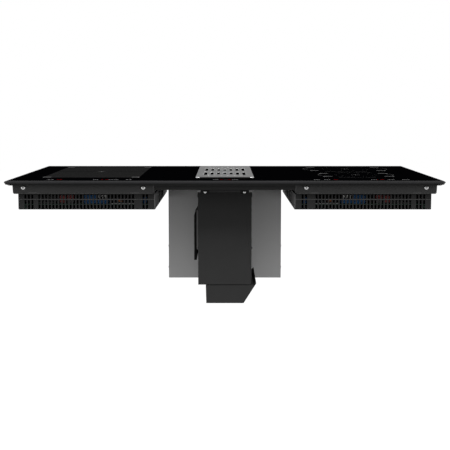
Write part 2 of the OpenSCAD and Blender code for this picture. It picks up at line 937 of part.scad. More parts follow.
module at_front_screws() {
    for (x = [-housing_screw_x, housing_screw_x])
        translate([x, housing_front_y, housing_screw_z])
            children();
}

module housing_cover() {
    color([0.08, 0.08, 0.08])
        difference() {
            span([-housing_x, housing_front_y, housing_floor_z],
                [housing_x, housing_front_y + sheet_t, housing_top_z]);
            at_front_screws()
                rod_y(housing_shank_r + nest_gap, -over, sheet_t + over);
        }
}

module housing_screws() {
    color([0.8, 0.8, 0.8]) {
        at_front_screws()
            screw_y(housing_screw_r, housing_screw_h, housing_shank_r, 2 * sheet_t);
        for (side = [-1, 1])
            translate([side * housing_x, side_screw_y, side_screw_z])
                rotate([0, 0, side * 90])
                    rod_y(housing_screw_r, -housing_screw_h, 0);
    }
}

module grille_slots() {
    for (i = [0 : grille_cols - 1], row = [0, 1]) {
        column = i - (grille_cols - 1) / 2;
        drift = (2 * row - 1) * grille_slot_drift * abs(column);
        translate([column * grille_pitch, grille_y + grille_row_shares[row] * grille_d / 2 + drift,
                grille_low_z - over])
            slot(grille_slot_w, grille_slot_mid + grille_slot_step * abs(column), grille_rise + 2 * over);
    }
    for (i = [0 : grille_cols - 2], share = grille_hole_shares) {
        column = i - (grille_cols - 2) / 2;
        translate([column * grille_pitch, grille_y + share * grille_d / 2, grille_low_z - over])
            cylinder(r = grille_hole_r, h = grille_rise + 2 * over, $fn = 32);
    }
}

module grille() {
    skirt_w = opening_w - 2 * grille_skirt_gap;
    skirt_d = opening_d - 2 * grille_skirt_gap;
    color([0.62, 0.62, 0.63])
        difference() {
            union() {
                translate([0, grille_y, grille_low_z])
                    linear_extrude(grille_top_z - grille_low_z)
                        round_rect(grille_w, grille_d, grille_corner_r);
                translate([0, grille_y, grille_low_z - grille_skirt_h])
                    linear_extrude(grille_skirt_h + grille_rise / 4)
                        round_rect(skirt_w, skirt_d, opening_r - grille_skirt_gap);
            }
            translate([0, grille_y, grille_low_z - grille_skirt_h - over])
                linear_extrude(grille_skirt_h + over)
                    round_rect(skirt_w - 2 * grille_skirt_t, skirt_d - 2 * grille_skirt_t, grille_skirt_t);
            grille_slots();
        }
}

module grille_feet() {
    color([0.08, 0.08, 0.08])
        for (x = [-1, 1], y = [-1, 0, 1])
            translate([x * foot_x, grille_y + y * (grille_d / 2 - grille_corner_r), grille_low_z - foot_h])
                cylinder(r = foot_r, h = foot_h, $fn = 32);
}

module filter_frame() {
    color([0.7, 0.7, 0.7])
        difference() {
            span([-filter_x, filter_front_y, filter_z], [filter_x, filter_rear_y, filter_z + filter_h]);
            span([-filter_x + filter_rim, filter_front_y + filter_rim, filter_z - over],
                [filter_x - filter_rim, filter_rear_y - filter_rim, filter_z + filter_h + over]);
            span([-filter_x + filter_wall, filter_front_y + filter_wall, mesh_z],
                [filter_x - filter_wall, filter_rear_y - filter_wall, mesh_z + mesh_t]);
        }
}

module filter_mesh() {
    gap = filter_wall + part_gap;
    color([0.75, 0.75, 0.75])
        span([-filter_x + gap, filter_front_y + gap, mesh_z],
            [filter_x - gap, filter_rear_y - gap, mesh_z + mesh_t - part_gap]);
}

module filter_handle() {
    mid_y = (filter_front_y + filter_rear_y) / 2;
    low_z = mesh_z + mesh_t;
    color([0.1, 0.1, 0.1])
        translate([0, mid_y, low_z])
            difference() {
                span([-handle_w / 2, -handle_bar / 2, 0], [handle_w / 2, handle_bar / 2, handle_h]);
                span([-handle_w / 2 + handle_bar, -handle_bar / 2 - over, handle_base],
                    [handle_w / 2 - handle_bar, handle_bar / 2 + over, handle_h - handle_top]);
            }
}

// Control box

// Outline of the control box, drawn in from its outer faces by a wall
module control_body(wall) {
    seat_x = -housing_x - control_base_t;
    outer_x = -housing_x - control_t + wall;
    bar_y([
        [seat_x + (wall > 0 ? over : 0), control_z + wall],
        [outer_x, control_z + wall],
        [outer_x, control_top_z - control_slope],
        [seat_x - 2 * wall, control_top_z - 2 * wall],
        [seat_x + (wall > 0 ? over : 0), control_top_z - 2 * wall]
    ], control_front_y + wall, control_front_y + control_len - wall);
}

module control_box() {
    color([0.1, 0.1, 0.1])
        difference() {
            control_body(0);
            control_body(sheet_t);
        }
}

module control_box_base() {
    color([0.35, 0.35, 0.35])
        span([-housing_x - control_base_t, control_front_y - control_base_out, control_base_z],
            [-housing_x, control_front_y + control_len + control_base_out, control_base_top]);
}

// Sliding tray

// Plate across the tray's mouth, buried in its floor and walls by half their thickness
module drip_plate(from_y, top_z) {
    low_z = drip_floor_z + drip_t / 2;
    bar_y([
        [drip_left_x + drip_t / 2, low_z],
        [drip_right_x - drip_t / 2, low_z],
        [drip_right_x - drip_t / 2 + drip_slant * (top_z - drip_floor_z), top_z],
        [drip_left_top_x + drip_t / 2, top_z]
    ], from_y, from_y + drip_t);
}

module drip_tray() {
    plate_top_z = housing_floor_z - drip_rim_gap;
    outer = [
        [drip_left_top_x, drip_flange_z],
        [drip_left_x, drip_floor_z],
        [drip_right_x, drip_floor_z],
        [drip_right_top_x, drip_rim_z]
    ];
    color([0.12, 0.12, 0.12]) {
        // Floor, walls and the two inward flanges that ride on the runners
        bar_y([
            outer[0],
            outer[1],
            outer[2],
            outer[3],
            outer[3] - [drip_t, 0],
            [drip_flange_x - drip_t, drip_flange_z + drip_t / 2],
            [drip_flange_x - drip_t - drip_flange_w, drip_flange_z + drip_t / 2],
            [drip_flange_x - drip_t - drip_flange_w, drip_flange_z - drip_t / 2],
            [drip_flange_x - 2 * drip_t, drip_flange_z - drip_t / 2],
            outer[2] + [-drip_t / 2, drip_t],
            outer[1] + [drip_t, drip_t],
            [drip_left_top_x + drip_t, drip_flange_z - drip_t / 2],
            [drip_left_top_x + drip_flange_w, drip_flange_z - drip_t / 2],
            [drip_left_top_x + drip_flange_w, drip_flange_z + drip_t / 2],
            [drip_left_top_x, drip_flange_z + drip_t / 2]
        ], housing_front_y, drip_rear_y);
        // The front plate closes the gap under the housing, and the rear plate clears the runners
        drip_plate(housing_front_y, plate_top_z);
        drip_plate(drip_rear_y - drip_t, runner_low_z - part_gap);
    }
}

// Runner whose lip carries one flange of the tray
module runner(x, side) {
    from_y = housing_front_y + drip_t + rail_front_gap;
    low_x = min(x, x + side * rail_t);
    lip_x = min(x, x - side * rail_lip);
    to_y = drip_rear_y - rail_front_gap;
    span([low_x, from_y, runner_low_z], [low_x + rail_t, to_y, housing_floor_z]);
    span([lip_x, from_y, runner_low_z], [lip_x + rail_lip, to_y, runner_low_z + rail_t]);
}

module tray_runners() {
    color([0.5, 0.5, 0.5]) {
        runner(drip_left_top_x + drip_flange_w + part_gap, 1);
        runner(drip_flange_x - drip_t - drip_flange_w - part_gap, -1);
    }
}

// Fan box

module fan_box() {
    top_z = carrier_z;
    color([0.45, 0.45, 0.45])
        difference() {
            span([-fan_box_x, fan_box_front_y, fan_box_floor_z], [fan_box_x, fan_box_rear_y, top_z]);
            span([-fan_box_x + sheet_t, fan_box_front_y - over, fan_box_floor_z + sheet_t],
                [fan_box_x - sheet_t, fan_box_rear_y - sheet_t, top_z - sheet_t]);
            translate([0, 0, impeller_z])
                rod_y(spigot_r - spigot_t, fan_box_rear_y - sheet_t - over, fan_box_rear_y + over);
        }
}

module fan_box_front() {
    edge = sheet_t + nest_gap;
    color([0.45, 0.45, 0.45])
        difference() {
            span([-fan_box_x + edge, fan_box_front_y, fan_box_floor_z + edge],
                [fan_box_x - edge, fan_box_front_y + sheet_t, carrier_z - edge]);
            translate([0, 0, impeller_z])
                rod_y(throat_r, fan_box_front_y - over, fan_box_front_y + sheet_t + over);
        }
}

module fan_box_screws() {
    color([0.7, 0.7, 0.7])
        for (side = [-1, 1], y = box_screw_ys, rise = box_screw_rises)
            translate([side * fan_box_x, y, fan_box_floor_z + rise])
                rotate([0, 0, side * 90])
                    rod_y(box_screw_r, -box_screw_h, 0);
}

module duct_gasket() {
    color([0.05, 0.05, 0.05])
        difference() {
            span([-housing_x + gasket_inset, housing_rear_y, window_low_z - window_margin],
                [housing_x - gasket_inset, fan_box_front_y, window_top_z + window_margin]);
            span([-housing_x + window_margin, housing_rear_y - over, window_low_z],
                [housing_x - window_margin, fan_box_front_y + over, window_top_z]);
        }
}

module inlet_ring() {
    start_y = fan_box_front_y + sheet_t;
    color([0.3, 0.3, 0.3])
        translate([0, start_y, impeller_z])
            turned_y([
                [throat_r, 0],
                [inlet_flange_r, 0],
                [inlet_flange_r, throat_wall],
                [throat_r + throat_wall, throat_wall],
                [throat_r + throat_wall, inlet_len],
                [throat_r, inlet_len]
            ]);
}

module impeller() {
    disc_y = impeller_len - impeller_disc_t;
    eye_r = throat_r + throat_wall + shroud_gap;
    color([0.15, 0.15, 0.15])
        translate([0, impeller_front_y, impeller_z]) {
            turned_y([
                [eye_r, 0],
                [eye_r + impeller_disc_t, 0],
                [impeller_r, shroud_rise],
                [impeller_r, shroud_rise + impeller_disc_t],
                [eye_r, impeller_disc_t]
            ]);
            rod_y(impeller_r, disc_y, impeller_len);
            rod_y(hub_r, disc_y - hub_len, impeller_len);
            rod_y(shaft_r, disc_y, disc_y + shaft_len);
            intersection() {
                difference() {
                    turned_y([
                        [0, impeller_disc_t / 2],
                        [eye_r, impeller_disc_t / 2],
                        [impeller_r, shroud_rise + impeller_disc_t / 2],
                        [impeller_r, disc_y + impeller_disc_t / 2],
                        [0, disc_y + impeller_disc_t / 2]
                    ]);
                    rod_y(eye_r, 0, disc_y);
                }
                for (i = [0 : blade_count - 1])
                    rotate([0, i * 360 / blade_count, 0])
                        translate([eye_r, 0, 0])
                            rotate([0, blade_angle, 0])
                                span([-blade_t, 0, -blade_t / 2],
                                    [impeller_r, disc_y + impeller_disc_t / 2, blade_t / 2]);
            }
        }
}

module motor() {
    color([0.35, 0.35, 0.37])
        translate([0, motor_y, impeller_z])
            difference() {
                union() {
                    rod_y(motor_r, 0, motor_len);
                    rod_y(motor_r / 2, -motor_gap / 2, motor_len);
                }
                rod_y(shaft_r + shaft_gap, -motor_gap - over, shaft_len);
            }
}

module motor_bracket() {
    end_x = fan_box_x - sheet_t - nest_gap;
    low_z = impeller_z - bracket_h / 2;
    color([0.5, 0.5, 0.5]) {
        span([-end_x, bracket_y, low_z], [end_x, bracket_y + bracket_t, low_z + bracket_h]);
        for (x = [-end_x, end_x - bracket_t])
            span([x, bracket_y, low_z], [x + bracket_t, bracket_y + bracket_foot, low_z + bracket_h]);
    }
}

module outlet_spigot() {
    color([0.12, 0.12, 0.12])
        translate([0, fan_box_rear_y, impeller_z])
            turned_y([
                [spigot_r - spigot_t, 0],
                [spigot_r + spigot_flange, 0],
                [spigot_r + spigot_flange, spigot_flange_t],
                [spigot_r, spigot_flange_t],
                [spigot_r, spigot_len],
                [spigot_r - spigot_t, spigot_len]
            ]);
}

module cable_gland() {
    color([0.06, 0.06, 0.06])
        translate([gland_x, vent_rear_y, gland_z])
            difference() {
                union() {
                    rod_y(gland_r, -gland_len / 3, gland_len * 2 / 3);
                    rod_y(gland_nut_r, 0, gland_nut_t);
                }
                rod_y(gland_bore_r, -gland_len, gland_len);
            }
}

module left_side_trim() on_left() side_trim();
module right_side_trim() side_trim();
module left_module_tray() on_left() module_tray();
module right_module_tray() module_tray();
module left_vent_box() on_left() vent_box();
module right_vent_box() vent_box();
module left_coil_plate() on_left() coil_plate();
module right_coil_plate() coil_plate();
module left_mica_sheet() on_left() mica_sheet(flex_coil_ys);
module right_mica_sheet() mica_sheet([small_coil_y, large_coil_y]);
module left_touch_board() on_left() side_touch_board();
module right_touch_board() side_touch_board();
module left_power_board() on_left() power_board();
module right_power_board() power_board();
module left_capacitors() on_left() capacitors();
module right_capacitors() capacitors();
module left_chokes() on_left() chokes();
module right_chokes() chokes();
module left_relays() on_left() relays();
module right_relays() relays();
module left_heatsink() on_left() heatsink();
module right_heatsink() heatsink();
module left_fan_frame() on_left() fan_frame();
module right_fan_frame() fan_frame();
module left_fan_rotor() on_left() fan_rotor();
module right_fan_rotor() fan_rotor();

glass_top();
worktop_seal();
left_side_trim();
right_side_trim();
left_module_tray();
right_module_tray();
left_vent_box();
right_vent_box();
module_screws();
left_coil_plate();
right_coil_plate();
left_ferrites();
right_ferrites();
left_windings();
right_windings();
left_mica_sheet();
right_mica_sheet();
zone_sensors();
left_touch_board();
centre_touch_board();
right_touch_board();
left_power_board();
right_power_board();
left_capacitors();
right_capacitors();
left_chokes();
right_chokes();
left_relays();
right_relays();
left_heatsink();
right_heatsink();
left_fan_frame();
right_fan_frame();
left_fan_rotor();
right_fan_rotor();
centre_carrier();
intake_well();
hanger_plates();
filter_housing();
housing_cover();
housing_screws();
grille();
grille_feet();
filter_frame();
filter_mesh();
filter_handle();
control_box();
control_box_base();
drip_tray();
tray_runners();
fan_box();
fan_box_front();
fan_box_screws();
duct_gasket();
inlet_ring();
impeller();
motor();
motor_bracket();
outlet_spigot();
cable_gland();
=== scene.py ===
import json
import math
import random

import bmesh
import bpy
from mathutils import Matrix, Vector

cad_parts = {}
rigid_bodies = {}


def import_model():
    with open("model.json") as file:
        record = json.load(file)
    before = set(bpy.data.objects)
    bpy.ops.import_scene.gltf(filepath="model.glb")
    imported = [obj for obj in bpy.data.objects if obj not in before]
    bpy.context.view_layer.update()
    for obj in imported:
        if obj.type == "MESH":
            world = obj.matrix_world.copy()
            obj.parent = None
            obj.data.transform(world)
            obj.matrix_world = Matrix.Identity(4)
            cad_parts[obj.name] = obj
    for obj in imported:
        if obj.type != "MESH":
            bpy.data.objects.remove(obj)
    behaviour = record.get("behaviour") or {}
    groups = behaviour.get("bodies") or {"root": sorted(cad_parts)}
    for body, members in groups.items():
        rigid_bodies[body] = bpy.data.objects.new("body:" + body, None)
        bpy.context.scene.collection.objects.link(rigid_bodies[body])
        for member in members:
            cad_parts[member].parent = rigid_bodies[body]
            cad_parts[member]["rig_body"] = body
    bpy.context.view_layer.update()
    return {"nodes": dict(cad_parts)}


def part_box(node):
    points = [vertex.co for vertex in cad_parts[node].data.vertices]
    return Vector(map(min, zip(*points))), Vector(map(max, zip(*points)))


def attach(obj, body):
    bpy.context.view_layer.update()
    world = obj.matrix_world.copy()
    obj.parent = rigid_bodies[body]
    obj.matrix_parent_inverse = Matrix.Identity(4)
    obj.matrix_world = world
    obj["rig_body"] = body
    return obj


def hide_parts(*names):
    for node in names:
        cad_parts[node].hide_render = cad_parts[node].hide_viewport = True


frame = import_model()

MM = 0.001
SCENE = bpy.context.scene
NODES = frame["nodes"]

# Shader helpers

WHITE = (1, 1, 1, 1)


def grey(value):
    return (value, value, value)


def add_math(tree, operation, *values):
    """Math node over one or two values, each a socket or a number."""
    node = tree.nodes.new("ShaderNodeMath")
    node.operation = operation
    for value, socket in zip(values, node.inputs):
        if isinstance(value, float):
            socket.default_value = value
        else:
            tree.links.new(value, socket)
    return node.outputs[0]


def add_ramp(tree, value, start, end, low=0.0, high=1.0):
    """Goes from low to high as a socket goes from start to end, and no further."""
    ramp = tree.nodes.new("ShaderNodeMapRange")
    for setting, number in (("From Min", start), ("From Max", end), ("To Min", low), ("To Max", high)):
        ramp.inputs[setting].default_value = number
    tree.links.new(value, ramp.inputs["Value"])
    return ramp.outputs[0]


def add_noise(tree, place, scale, detail=2.0):
    noise = tree.nodes.new("ShaderNodeTexNoise")
    noise.inputs["Scale"].default_value = scale
    noise.inputs["Detail"].default_value = detail
    tree.links.new(place, noise.inputs["Vector"])
    return noise.outputs["Fac"]


def add_color_mix(tree, share, first, second):
    """Mix of two colours, each a socket or three numbers."""
    mix = tree.nodes.new("ShaderNodeMix")
    mix.data_type = "RGBA"
    tree.links.new(share, mix.inputs[0])
    for color, socket in ((first, mix.inputs[6]), (second, mix.inputs[7])):
        if isinstance(color, tuple):
            socket.default_value = (*color, 1)
        else:
            tree.links.new(color, socket)
    return mix.outputs[2]


def object_place(tree):
    """Place on the object, which goes with it when it moves."""
    return tree.nodes.new("ShaderNodeTexCoord").outputs["Object"]


def mapped_place(tree, setting, value):
    """Place on the object through a mapping with one setting, such as its Scale."""
    mapping = tree.nodes.new("ShaderNodeMapping")
    mapping.inputs[setting].default_value = value
    tree.links.new(object_place(tree), mapping.inputs["Vector"])
    return mapping.outputs[0]


def normal_parts(tree, kind):
    """X, Y and Z of the surface's Normal or True Normal."""
    shape = tree.nodes.new("ShaderNodeNewGeometry")
    parts = tree.nodes.new("ShaderNodeSeparateXYZ")
    tree.links.new(shape.outputs[kind], parts.inputs[0])
    return parts.outputs


# Camera

CAMERA_PLACE = (0.00041, -2.34314, 0.16291)
CAMERA_PITCH = 6.6566
CAMERA_LENS = 82.113
SENSOR = 36.0


def make_camera():
    data = bpy.data.cameras.new("camera")
    data.sensor_width = SENSOR
    data.lens = CAMERA_LENS
    data.clip_start = 0.05
    data.clip_end = 60.0
    cam = bpy.data.objects.new("camera", data)
    cam.location = CAMERA_PLACE
    cam.rotation_euler = (math.radians(90 - CAMERA_PITCH), 0, 0)
    SCENE.collection.objects.link(cam)
    SCENE.camera = cam


# Light, world and floor

FLOOR_Z = -0.9
FLOOR_HALF = 14.0
WORLD_LIGHT = 0.72
FLOOR_COLOR = 0.2
FLOOR_GLOW = 0.88
BODY_MIDDLE = (0.0, 0.0, -0.1)
LAMPS = (
    # name, place, aims at, size x, size y, watts
    ("front_lamp", (0.0, -1.6, 2.4), (0.0, -0.15, -0.1), 2.2, 0.9, 74.0),
    ("left_lamp", (-2.4, -0.9, 0.9), BODY_MIDDLE, 1.2, 1.2, 6.5),
    ("right_lamp", (2.4, -0.9, 0.9), BODY_MIDDLE, 1.2, 1.2, 6.5),
    ("low_left_lamp", (-2.3, -1.2, -0.4), BODY_MIDDLE, 1.0, 1.0, 5.0),
    ("low_right_lamp", (2.3, -1.2, -0.4), BODY_MIDDLE, 1.0, 1.0, 5.0),
)


def seen_rays(tree):
    """1 on camera, glossy and transmission rays, 0 on the rays that carry light."""
    rays = tree.nodes.new("ShaderNodeLightPath").outputs
    camera_or_glossy = add_math(tree, "MAXIMUM", rays["Is Camera Ray"], rays["Is Glossy Ray"])
    return add_math(tree, "MAXIMUM", camera_or_glossy, rays["Is Transmission Ray"])


def make_world():
    """Even light from all round, with a background that is seen as white."""
    SCENE.view_settings.view_transform = "Standard"
    world = bpy.data.worlds.new("studio")
    SCENE.world = world
    world.use_nodes = True
    tree = world.node_tree
    tree.nodes.clear()
    mix = tree.nodes.new("ShaderNodeMixShader")
    out = tree.nodes.new("ShaderNodeOutputWorld")
    tree.links.new(seen_rays(tree), mix.inputs[0])
    for strength, socket in ((WORLD_LIGHT, mix.inputs[1]), (1.0, mix.inputs[2])):
        light = tree.nodes.new("ShaderNodeBackground")
        light.inputs["Color"].default_value = WHITE
        light.inputs["Strength"].default_value = strength
        tree.links.new(light.outputs[0], socket)
    tree.links.new(mix.outputs[0], out.inputs["Surface"])


def floor_look():
    """Pale floor that keeps shadows, and glows where it is seen."""
    look = bpy.data.materials.new("pale_floor")
    look.use_nodes = True
    tree = look.node_tree
    tree.nodes.clear()
    diffuse = tree.nodes.new("ShaderNodeBsdfDiffuse")
    diffuse.inputs["Color"].default_value = (*grey(FLOOR_COLOR), 1)
    glow = tree.nodes.new("ShaderNodeEmission")
    glow.inputs["Color"].default_value = WHITE
    tree.links.new(add_math(tree, "MULTIPLY", seen_rays(tree), FLOOR_GLOW), glow.inputs["Strength"])
    both = tree.nodes.new("ShaderNodeAddShader")
    tree.links.new(diffuse.outputs[0], both.inputs[0])
    tree.links.new(glow.outputs[0], both.inputs[1])
    out = tree.nodes.new("ShaderNodeOutputMaterial")
    tree.links.new(both.outputs[0], out.inputs["Surface"])
    return look


def make_floor():
    bm = bmesh.new()
    bmesh.ops.create_grid(bm, x_segments=1, y_segments=1, size=FLOOR_HALF)
    bmesh.ops.translate(bm, verts=bm.verts, vec=(0, 0, FLOOR_Z))
    floor = link_object("floor", bm)
    floor.data.materials.append(floor_look())


def make_lamps():
    for name, place, aim, size_x, size_y, watts in LAMPS:
        data = bpy.data.lights.new(name, "AREA")
        data.shape = "RECTANGLE"
        data.size = size_x
        data.size_y = size_y
        data.energy = watts
        lamp = bpy.data.objects.new(name, data)
        lamp.location = place
        lamp.visible_camera = False
        lamp.rotation_euler = (Vector(aim) - Vector(place)).to_track_quat("-Z", "Y").to_euler()
        SCENE.collection.objects.link(lamp)


# Kinds of surface

LOOKS = {}
CLOUD_DETAIL = 4.0
GRAIN_DETAIL = 3.0
GRAIN_DEPTH = 0.2 * MM
SMOOTHEST = 0.02
GLASS_BLACK = (0.0006, 0.0006, 0.0008)
GLASS_ROUGH = (0.03, 0.09)
GROUND_COLOR = (0.0176, 0.0176, 0.0184)
GROUND_ROUGH = 0.42
GROUND_GLOSS = 0.1
# Painted shade for the grille's rolled front edge and its slot walls
GRILLE_PAINTED_SHADE = grey(0.008)
PRINT_ROUGH = 0.08
# Bands in a metre of the wave texture, for each unit of its scale
WAVE_BANDS = 3.2


def new_look(name):
    """Puts a new material in LOOKS, and gives its node tree and its shader."""
    look = bpy.data.materials.new(name)
    look.use_nodes = True
    LOOKS[name] = look
    return look.node_tree, look.node_tree.nodes["Principled BSDF"]


def surface(name, color, rough, metal=0.0, spec=0.5, vary=0.1, cloud=40.0, grain=(900, 900, 900),
            bump=0.05, rough_vary=0.08):
    """Look with soft clouds in its colour, and a fine grain in its bump and roughness."""
    tree, shader = new_look(name)
    shader.inputs["Metallic"].default_value = metal
    shader.inputs["Specular IOR Level"].default_value = spec
    clouds = add_noise(tree, object_place(tree), cloud, CLOUD_DETAIL)
    darker = tuple(c * (1 - vary) for c in color)
    lighter = tuple(min(c * (1 + vary), 1) for c in color)
    tree.links.new(add_color_mix(tree, clouds, darker, lighter), shader.inputs["Base Color"])
    fine = add_noise(tree, mapped_place(tree, "Scale", grain), 1.0, GRAIN_DETAIL)
    smooth, coarse = max(rough - rough_vary, SMOOTHEST), min(rough + rough_vary, 1.0)
    tree.links.new(add_ramp(tree, fine, 0.0, 1.0, smooth, coarse), shader.inputs["Roughness"])
    relief = tree.nodes.new("ShaderNodeBump")
    relief.inputs["Strength"].default_value = bump
    relief.inputs["Distance"].default_value = GRAIN_DEPTH
    tree.links.new(fine, relief.inputs["Height"])
    tree.links.new(relief.outputs[0], shader.inputs["Normal"])
    return tree, shader


def polish_level(tree):
    """Gloss of polished glass, which fades to none towards a grazing view."""
    facing = tree.nodes.new("ShaderNodeLayerWeight")
    facing.inputs["Blend"].default_value = 0.5
    return add_ramp(tree, facing.outputs["Facing"], 0.55, 0.88, 0.5, 0.0)


def glass_surface(name):
    """Black glass: polished on top, ground and a little lighter on its bevelled edges."""
    tree, shader = new_look(name)
    edge = add_ramp(tree, normal_parts(tree, "True Normal")["Z"], 0.97, 0.9)
    rough = tree.nodes.new("ShaderNodeMix")
    rough.inputs[3].default_value = GROUND_ROUGH
    tree.links.new(edge, rough.inputs[0])
    smears = add_noise(tree, object_place(tree), 30.0)
    tree.links.new(add_ramp(tree, smears, 0.0, 1.0, *GLASS_ROUGH), rough.inputs[2])
    tree.links.new(rough.outputs[0], shader.inputs["Roughness"])
    tree.links.new(add_color_mix(tree, edge, GLASS_BLACK, GROUND_COLOR), shader.inputs["Base Color"])
    dull = add_ramp(tree, edge, 0.0, 1.0, 1.0, GROUND_GLOSS)
    gloss = add_math(tree, "MULTIPLY", polish_level(tree), dull)
    tree.links.new(gloss, shader.inputs["Specular IOR Level"])


def brushed_surface(name):
    """Brushed stainless steel, pale on its upper side, with painted shade on its rolled front edge, left off
    at the front corners, and on the slot walls.
    """
    tree, shader = surface(name, grey(0.36), 0.33, metal=0.85, vary=0.25, cloud=45,
                           grain=(25, 1400, 1400), bump=0.09, rough_vary=0.12)
    shader.inputs["Specular Tint"].default_value = (*grey(0.0), 1)
    plain = shader.inputs["Base Color"].links[0].from_socket
    # Painted shade: the rolled front edge, except at the corners, and the slot walls take a near-black
    # colour.
    parts = normal_parts(tree, "Normal")
    front = add_ramp(tree, parts["Y"], -0.2, -0.7)
    off_corner = add_ramp(tree, add_math(tree, "ABSOLUTE", parts["X"]), 0.5, 0.25)
    rolled = add_math(tree, "MULTIPLY", front, off_corner)
    wall = add_ramp(tree, add_math(tree, "ABSOLUTE", parts["Z"]), 0.3, 0.1)
    dark = add_math(tree, "MAXIMUM", rolled, wall)
    tree.links.new(add_color_mix(tree, dark, plain, GRILLE_PAINTED_SHADE), shader.inputs["Base Color"])


def hatch_surface(name, color, ground, pitch):
    """Print with fine slanted lines, on the glass's own black."""
    tree, shader = new_look(name)
    tree.links.new(polish_level(tree), shader.inputs["Specular IOR Level"])
    shader.inputs["Roughness"].default_value = PRINT_ROUGH
    waves = tree.nodes.new("ShaderNodeTexWave")
    waves.bands_direction = "X"
    waves.inputs["Scale"].default_value = 1 / pitch / WAVE_BANDS
    slanted = mapped_place(tree, "Rotation", (0, 0, math.radians(45)))
    tree.links.new(slanted, waves.inputs["Vector"])
    tree.links.new(add_color_mix(tree, waves.outputs["Fac"], ground, color), shader.inputs["Base Color"])


def lit_print(name, color, glow=0.0):
    """Print with the gloss of the glass, and a glow where it is lit."""
    tree, shader = surface(name, color, 0.1, vary=0.15, cloud=120, bump=0.0)
    tree.links.new(polish_level(tree), shader.inputs["Specular IOR Level"])
    shader.inputs["Emission Color"].default_value = (*color, 1)
    shader.inputs["Emission Strength"].default_value = glow


# Looks

PAINTS = (
    # name, grey, roughness, gloss
    ("tray_metal", 0.060, 0.5, 0.02),
    # Lighter paint for painted highlights on the trays' bent edges and inner corners, and on the hems, beads
    # and lenses
    ("tray_edge", 0.085, 0.45, 0.05),
    # Painted highlight for the side trims' noses
    ("trim_nose_highlight", 0.2, 0.4, 0.1),
    # Painted light on the vent boxes' inner walls, which the housing shades, and on their inner corners
    ("pan_side", 0.13, 0.45, 0.05),
    ("carrier_metal", 0.034, 0.5, 0.02),
    ("vent_metal", 0.026, 0.5, 0.02),
    ("black_sheet", 0.034, 0.55, 0.01),
    # Darkest sheet: the control box's sheet, and painted shade in the seam under the housing's cover
    ("well_sheet", 0.012, 0.5, 0.01),
    ("base_strip", 0.20, 0.5, 0.02),
)


def make_glass_looks():
    glass_surface("black_glass")
    hatch_surface("zone_hatch", grey(0.016), grey(0.005), 1.6 * MM)
    lit_print("grey_print", grey(0.13))
    lit_print("key_print", grey(0.24))
    lit_print("dim_print", grey(0.06))
    lit_print("dark_print", grey(0.001))
    lit_print("red_display", (0.13, 0.001, 0.001), 0.15)


def make_painted_looks():
    surface("dark_trim", grey(0.022), 0.38, spec=0.3, grain=(30, 900, 900), bump=0.03, vary=0.15)
    for name, value, rough, gloss in PAINTS:
        surface(name, grey(value), rough, spec=gloss, cloud=14, grain=(1500, 1500, 1500),
                bump=0.16, rough_vary=0.1)


def make_metal_looks():
    surface("bright_steel", grey(0.40), 0.2, metal=1.0, grain=(500, 500, 500))
    # Black-painted steel, also used as painted shade in the screw recesses
    surface("dark_steel_and_recess_shade", grey(0.02), 0.45, spec=0.1)
    surface("tab_steel", grey(0.36), 0.45, spec=0.1)
    # Pale steel for painted highlights on the grille's slot edges and front corners
    surface("grille_highlight_steel", grey(0.62), 0.35, metal=0.85, grain=(400, 400, 400))
    brushed_surface("stainless")
    surface("galvanised", grey(0.60), 0.5, spec=0.05, vary=0.06, cloud=9,
            grain=(400, 400, 400), bump=0.03, rough_vary=0.06)
    surface("aluminium_sheet", grey(0.55), 0.38, metal=0.9, vary=0.08, grain=(40, 1200, 1200), bump=0.06)
    surface("heatsink_aluminium", grey(0.42), 0.4, metal=0.8, grain=(1200, 40, 1200), bump=0.08)
    surface("dark_fins", grey(0.03), 0.45, spec=0.2, grain=(1200, 40, 1200), bump=0.08)
    surface("motor_metal", grey(0.09), 0.45, metal=0.3, spec=0.3, vary=0.15, cloud=60, bump=0.15)
    surface("sensor_metal", grey(0.5), 0.35, metal=0.9, vary=0.08)
    surface("copper_winding", (0.62, 0.24, 0.09), 0.36, metal=0.7, vary=0.15, cloud=200, bump=0.1)


def make_plastic_looks():
    """Plastics, rubber and what else is neither metal nor glass."""
    clean = dict(vary=0.12, cloud=120)
    surface("black_film", grey(0.003), 0.7, spec=0.0, bump=0.0)
    surface("seal_rubber", grey(0.030), 0.8, spec=0.1, bump=0.2, grain=(700, 700, 700))
    surface("black_plastic", grey(0.014), 0.5, spec=0.2, bump=0.1, grain=(1100, 1100, 1100))
    surface("white_plastic", (0.5, 0.5, 0.48), 0.45, spec=0.3, vary=0.08, cloud=120)
    surface("blue_capacitor", (0.005, 0.065, 0.185), 0.35, spec=0.15, **clean)
    surface("red_relay", (0.15, 0.010, 0.009), 0.4, spec=0.25, **clean)
    surface("grey_wire", grey(0.03), 0.5, spec=0.2, **clean)
    surface("small_parts", grey(0.03), 0.4, spec=0.3, vary=0.4, cloud=420)
    surface("circuit_board", (0.02, 0.045, 0.03), 0.42, spec=0.25, vary=0.3, cloud=260, bump=0.1)
    surface("ferrite", grey(0.05), 0.75, spec=0.2, vary=0.2, cloud=300, bump=0.25)
    surface("mica", (0.42, 0.37, 0.28), 0.55, spec=0.3, vary=0.25, cloud=180,
            grain=(300, 300, 300), bump=0.2)


# Mesh helpers

SIDES = (("left", -1), ("right", 1))
FLAT_ANGLE = math.radians(1.5)
ROUNDED_ANGLE = math.radians(28)
SHARP_ANGLE = math.radians(38)
SAME_POINT = 0.001 * MM
FACE_WEIGHT = 90


def box_mm(node):
    low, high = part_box(node)
    return low / MM, high / MM


def mirrored(sign, a, b):
    """Two places in x, on the right or mirrored to the left, the lower one first."""
    return sorted((sign * a, sign * b))


def edge_ends(edge):
    return edge.verts[0].co / MM, edge.verts[1].co / MM


def edge_middle(edge):
    return (edge.verts[0].co + edge.verts[1].co) / 2 / MM


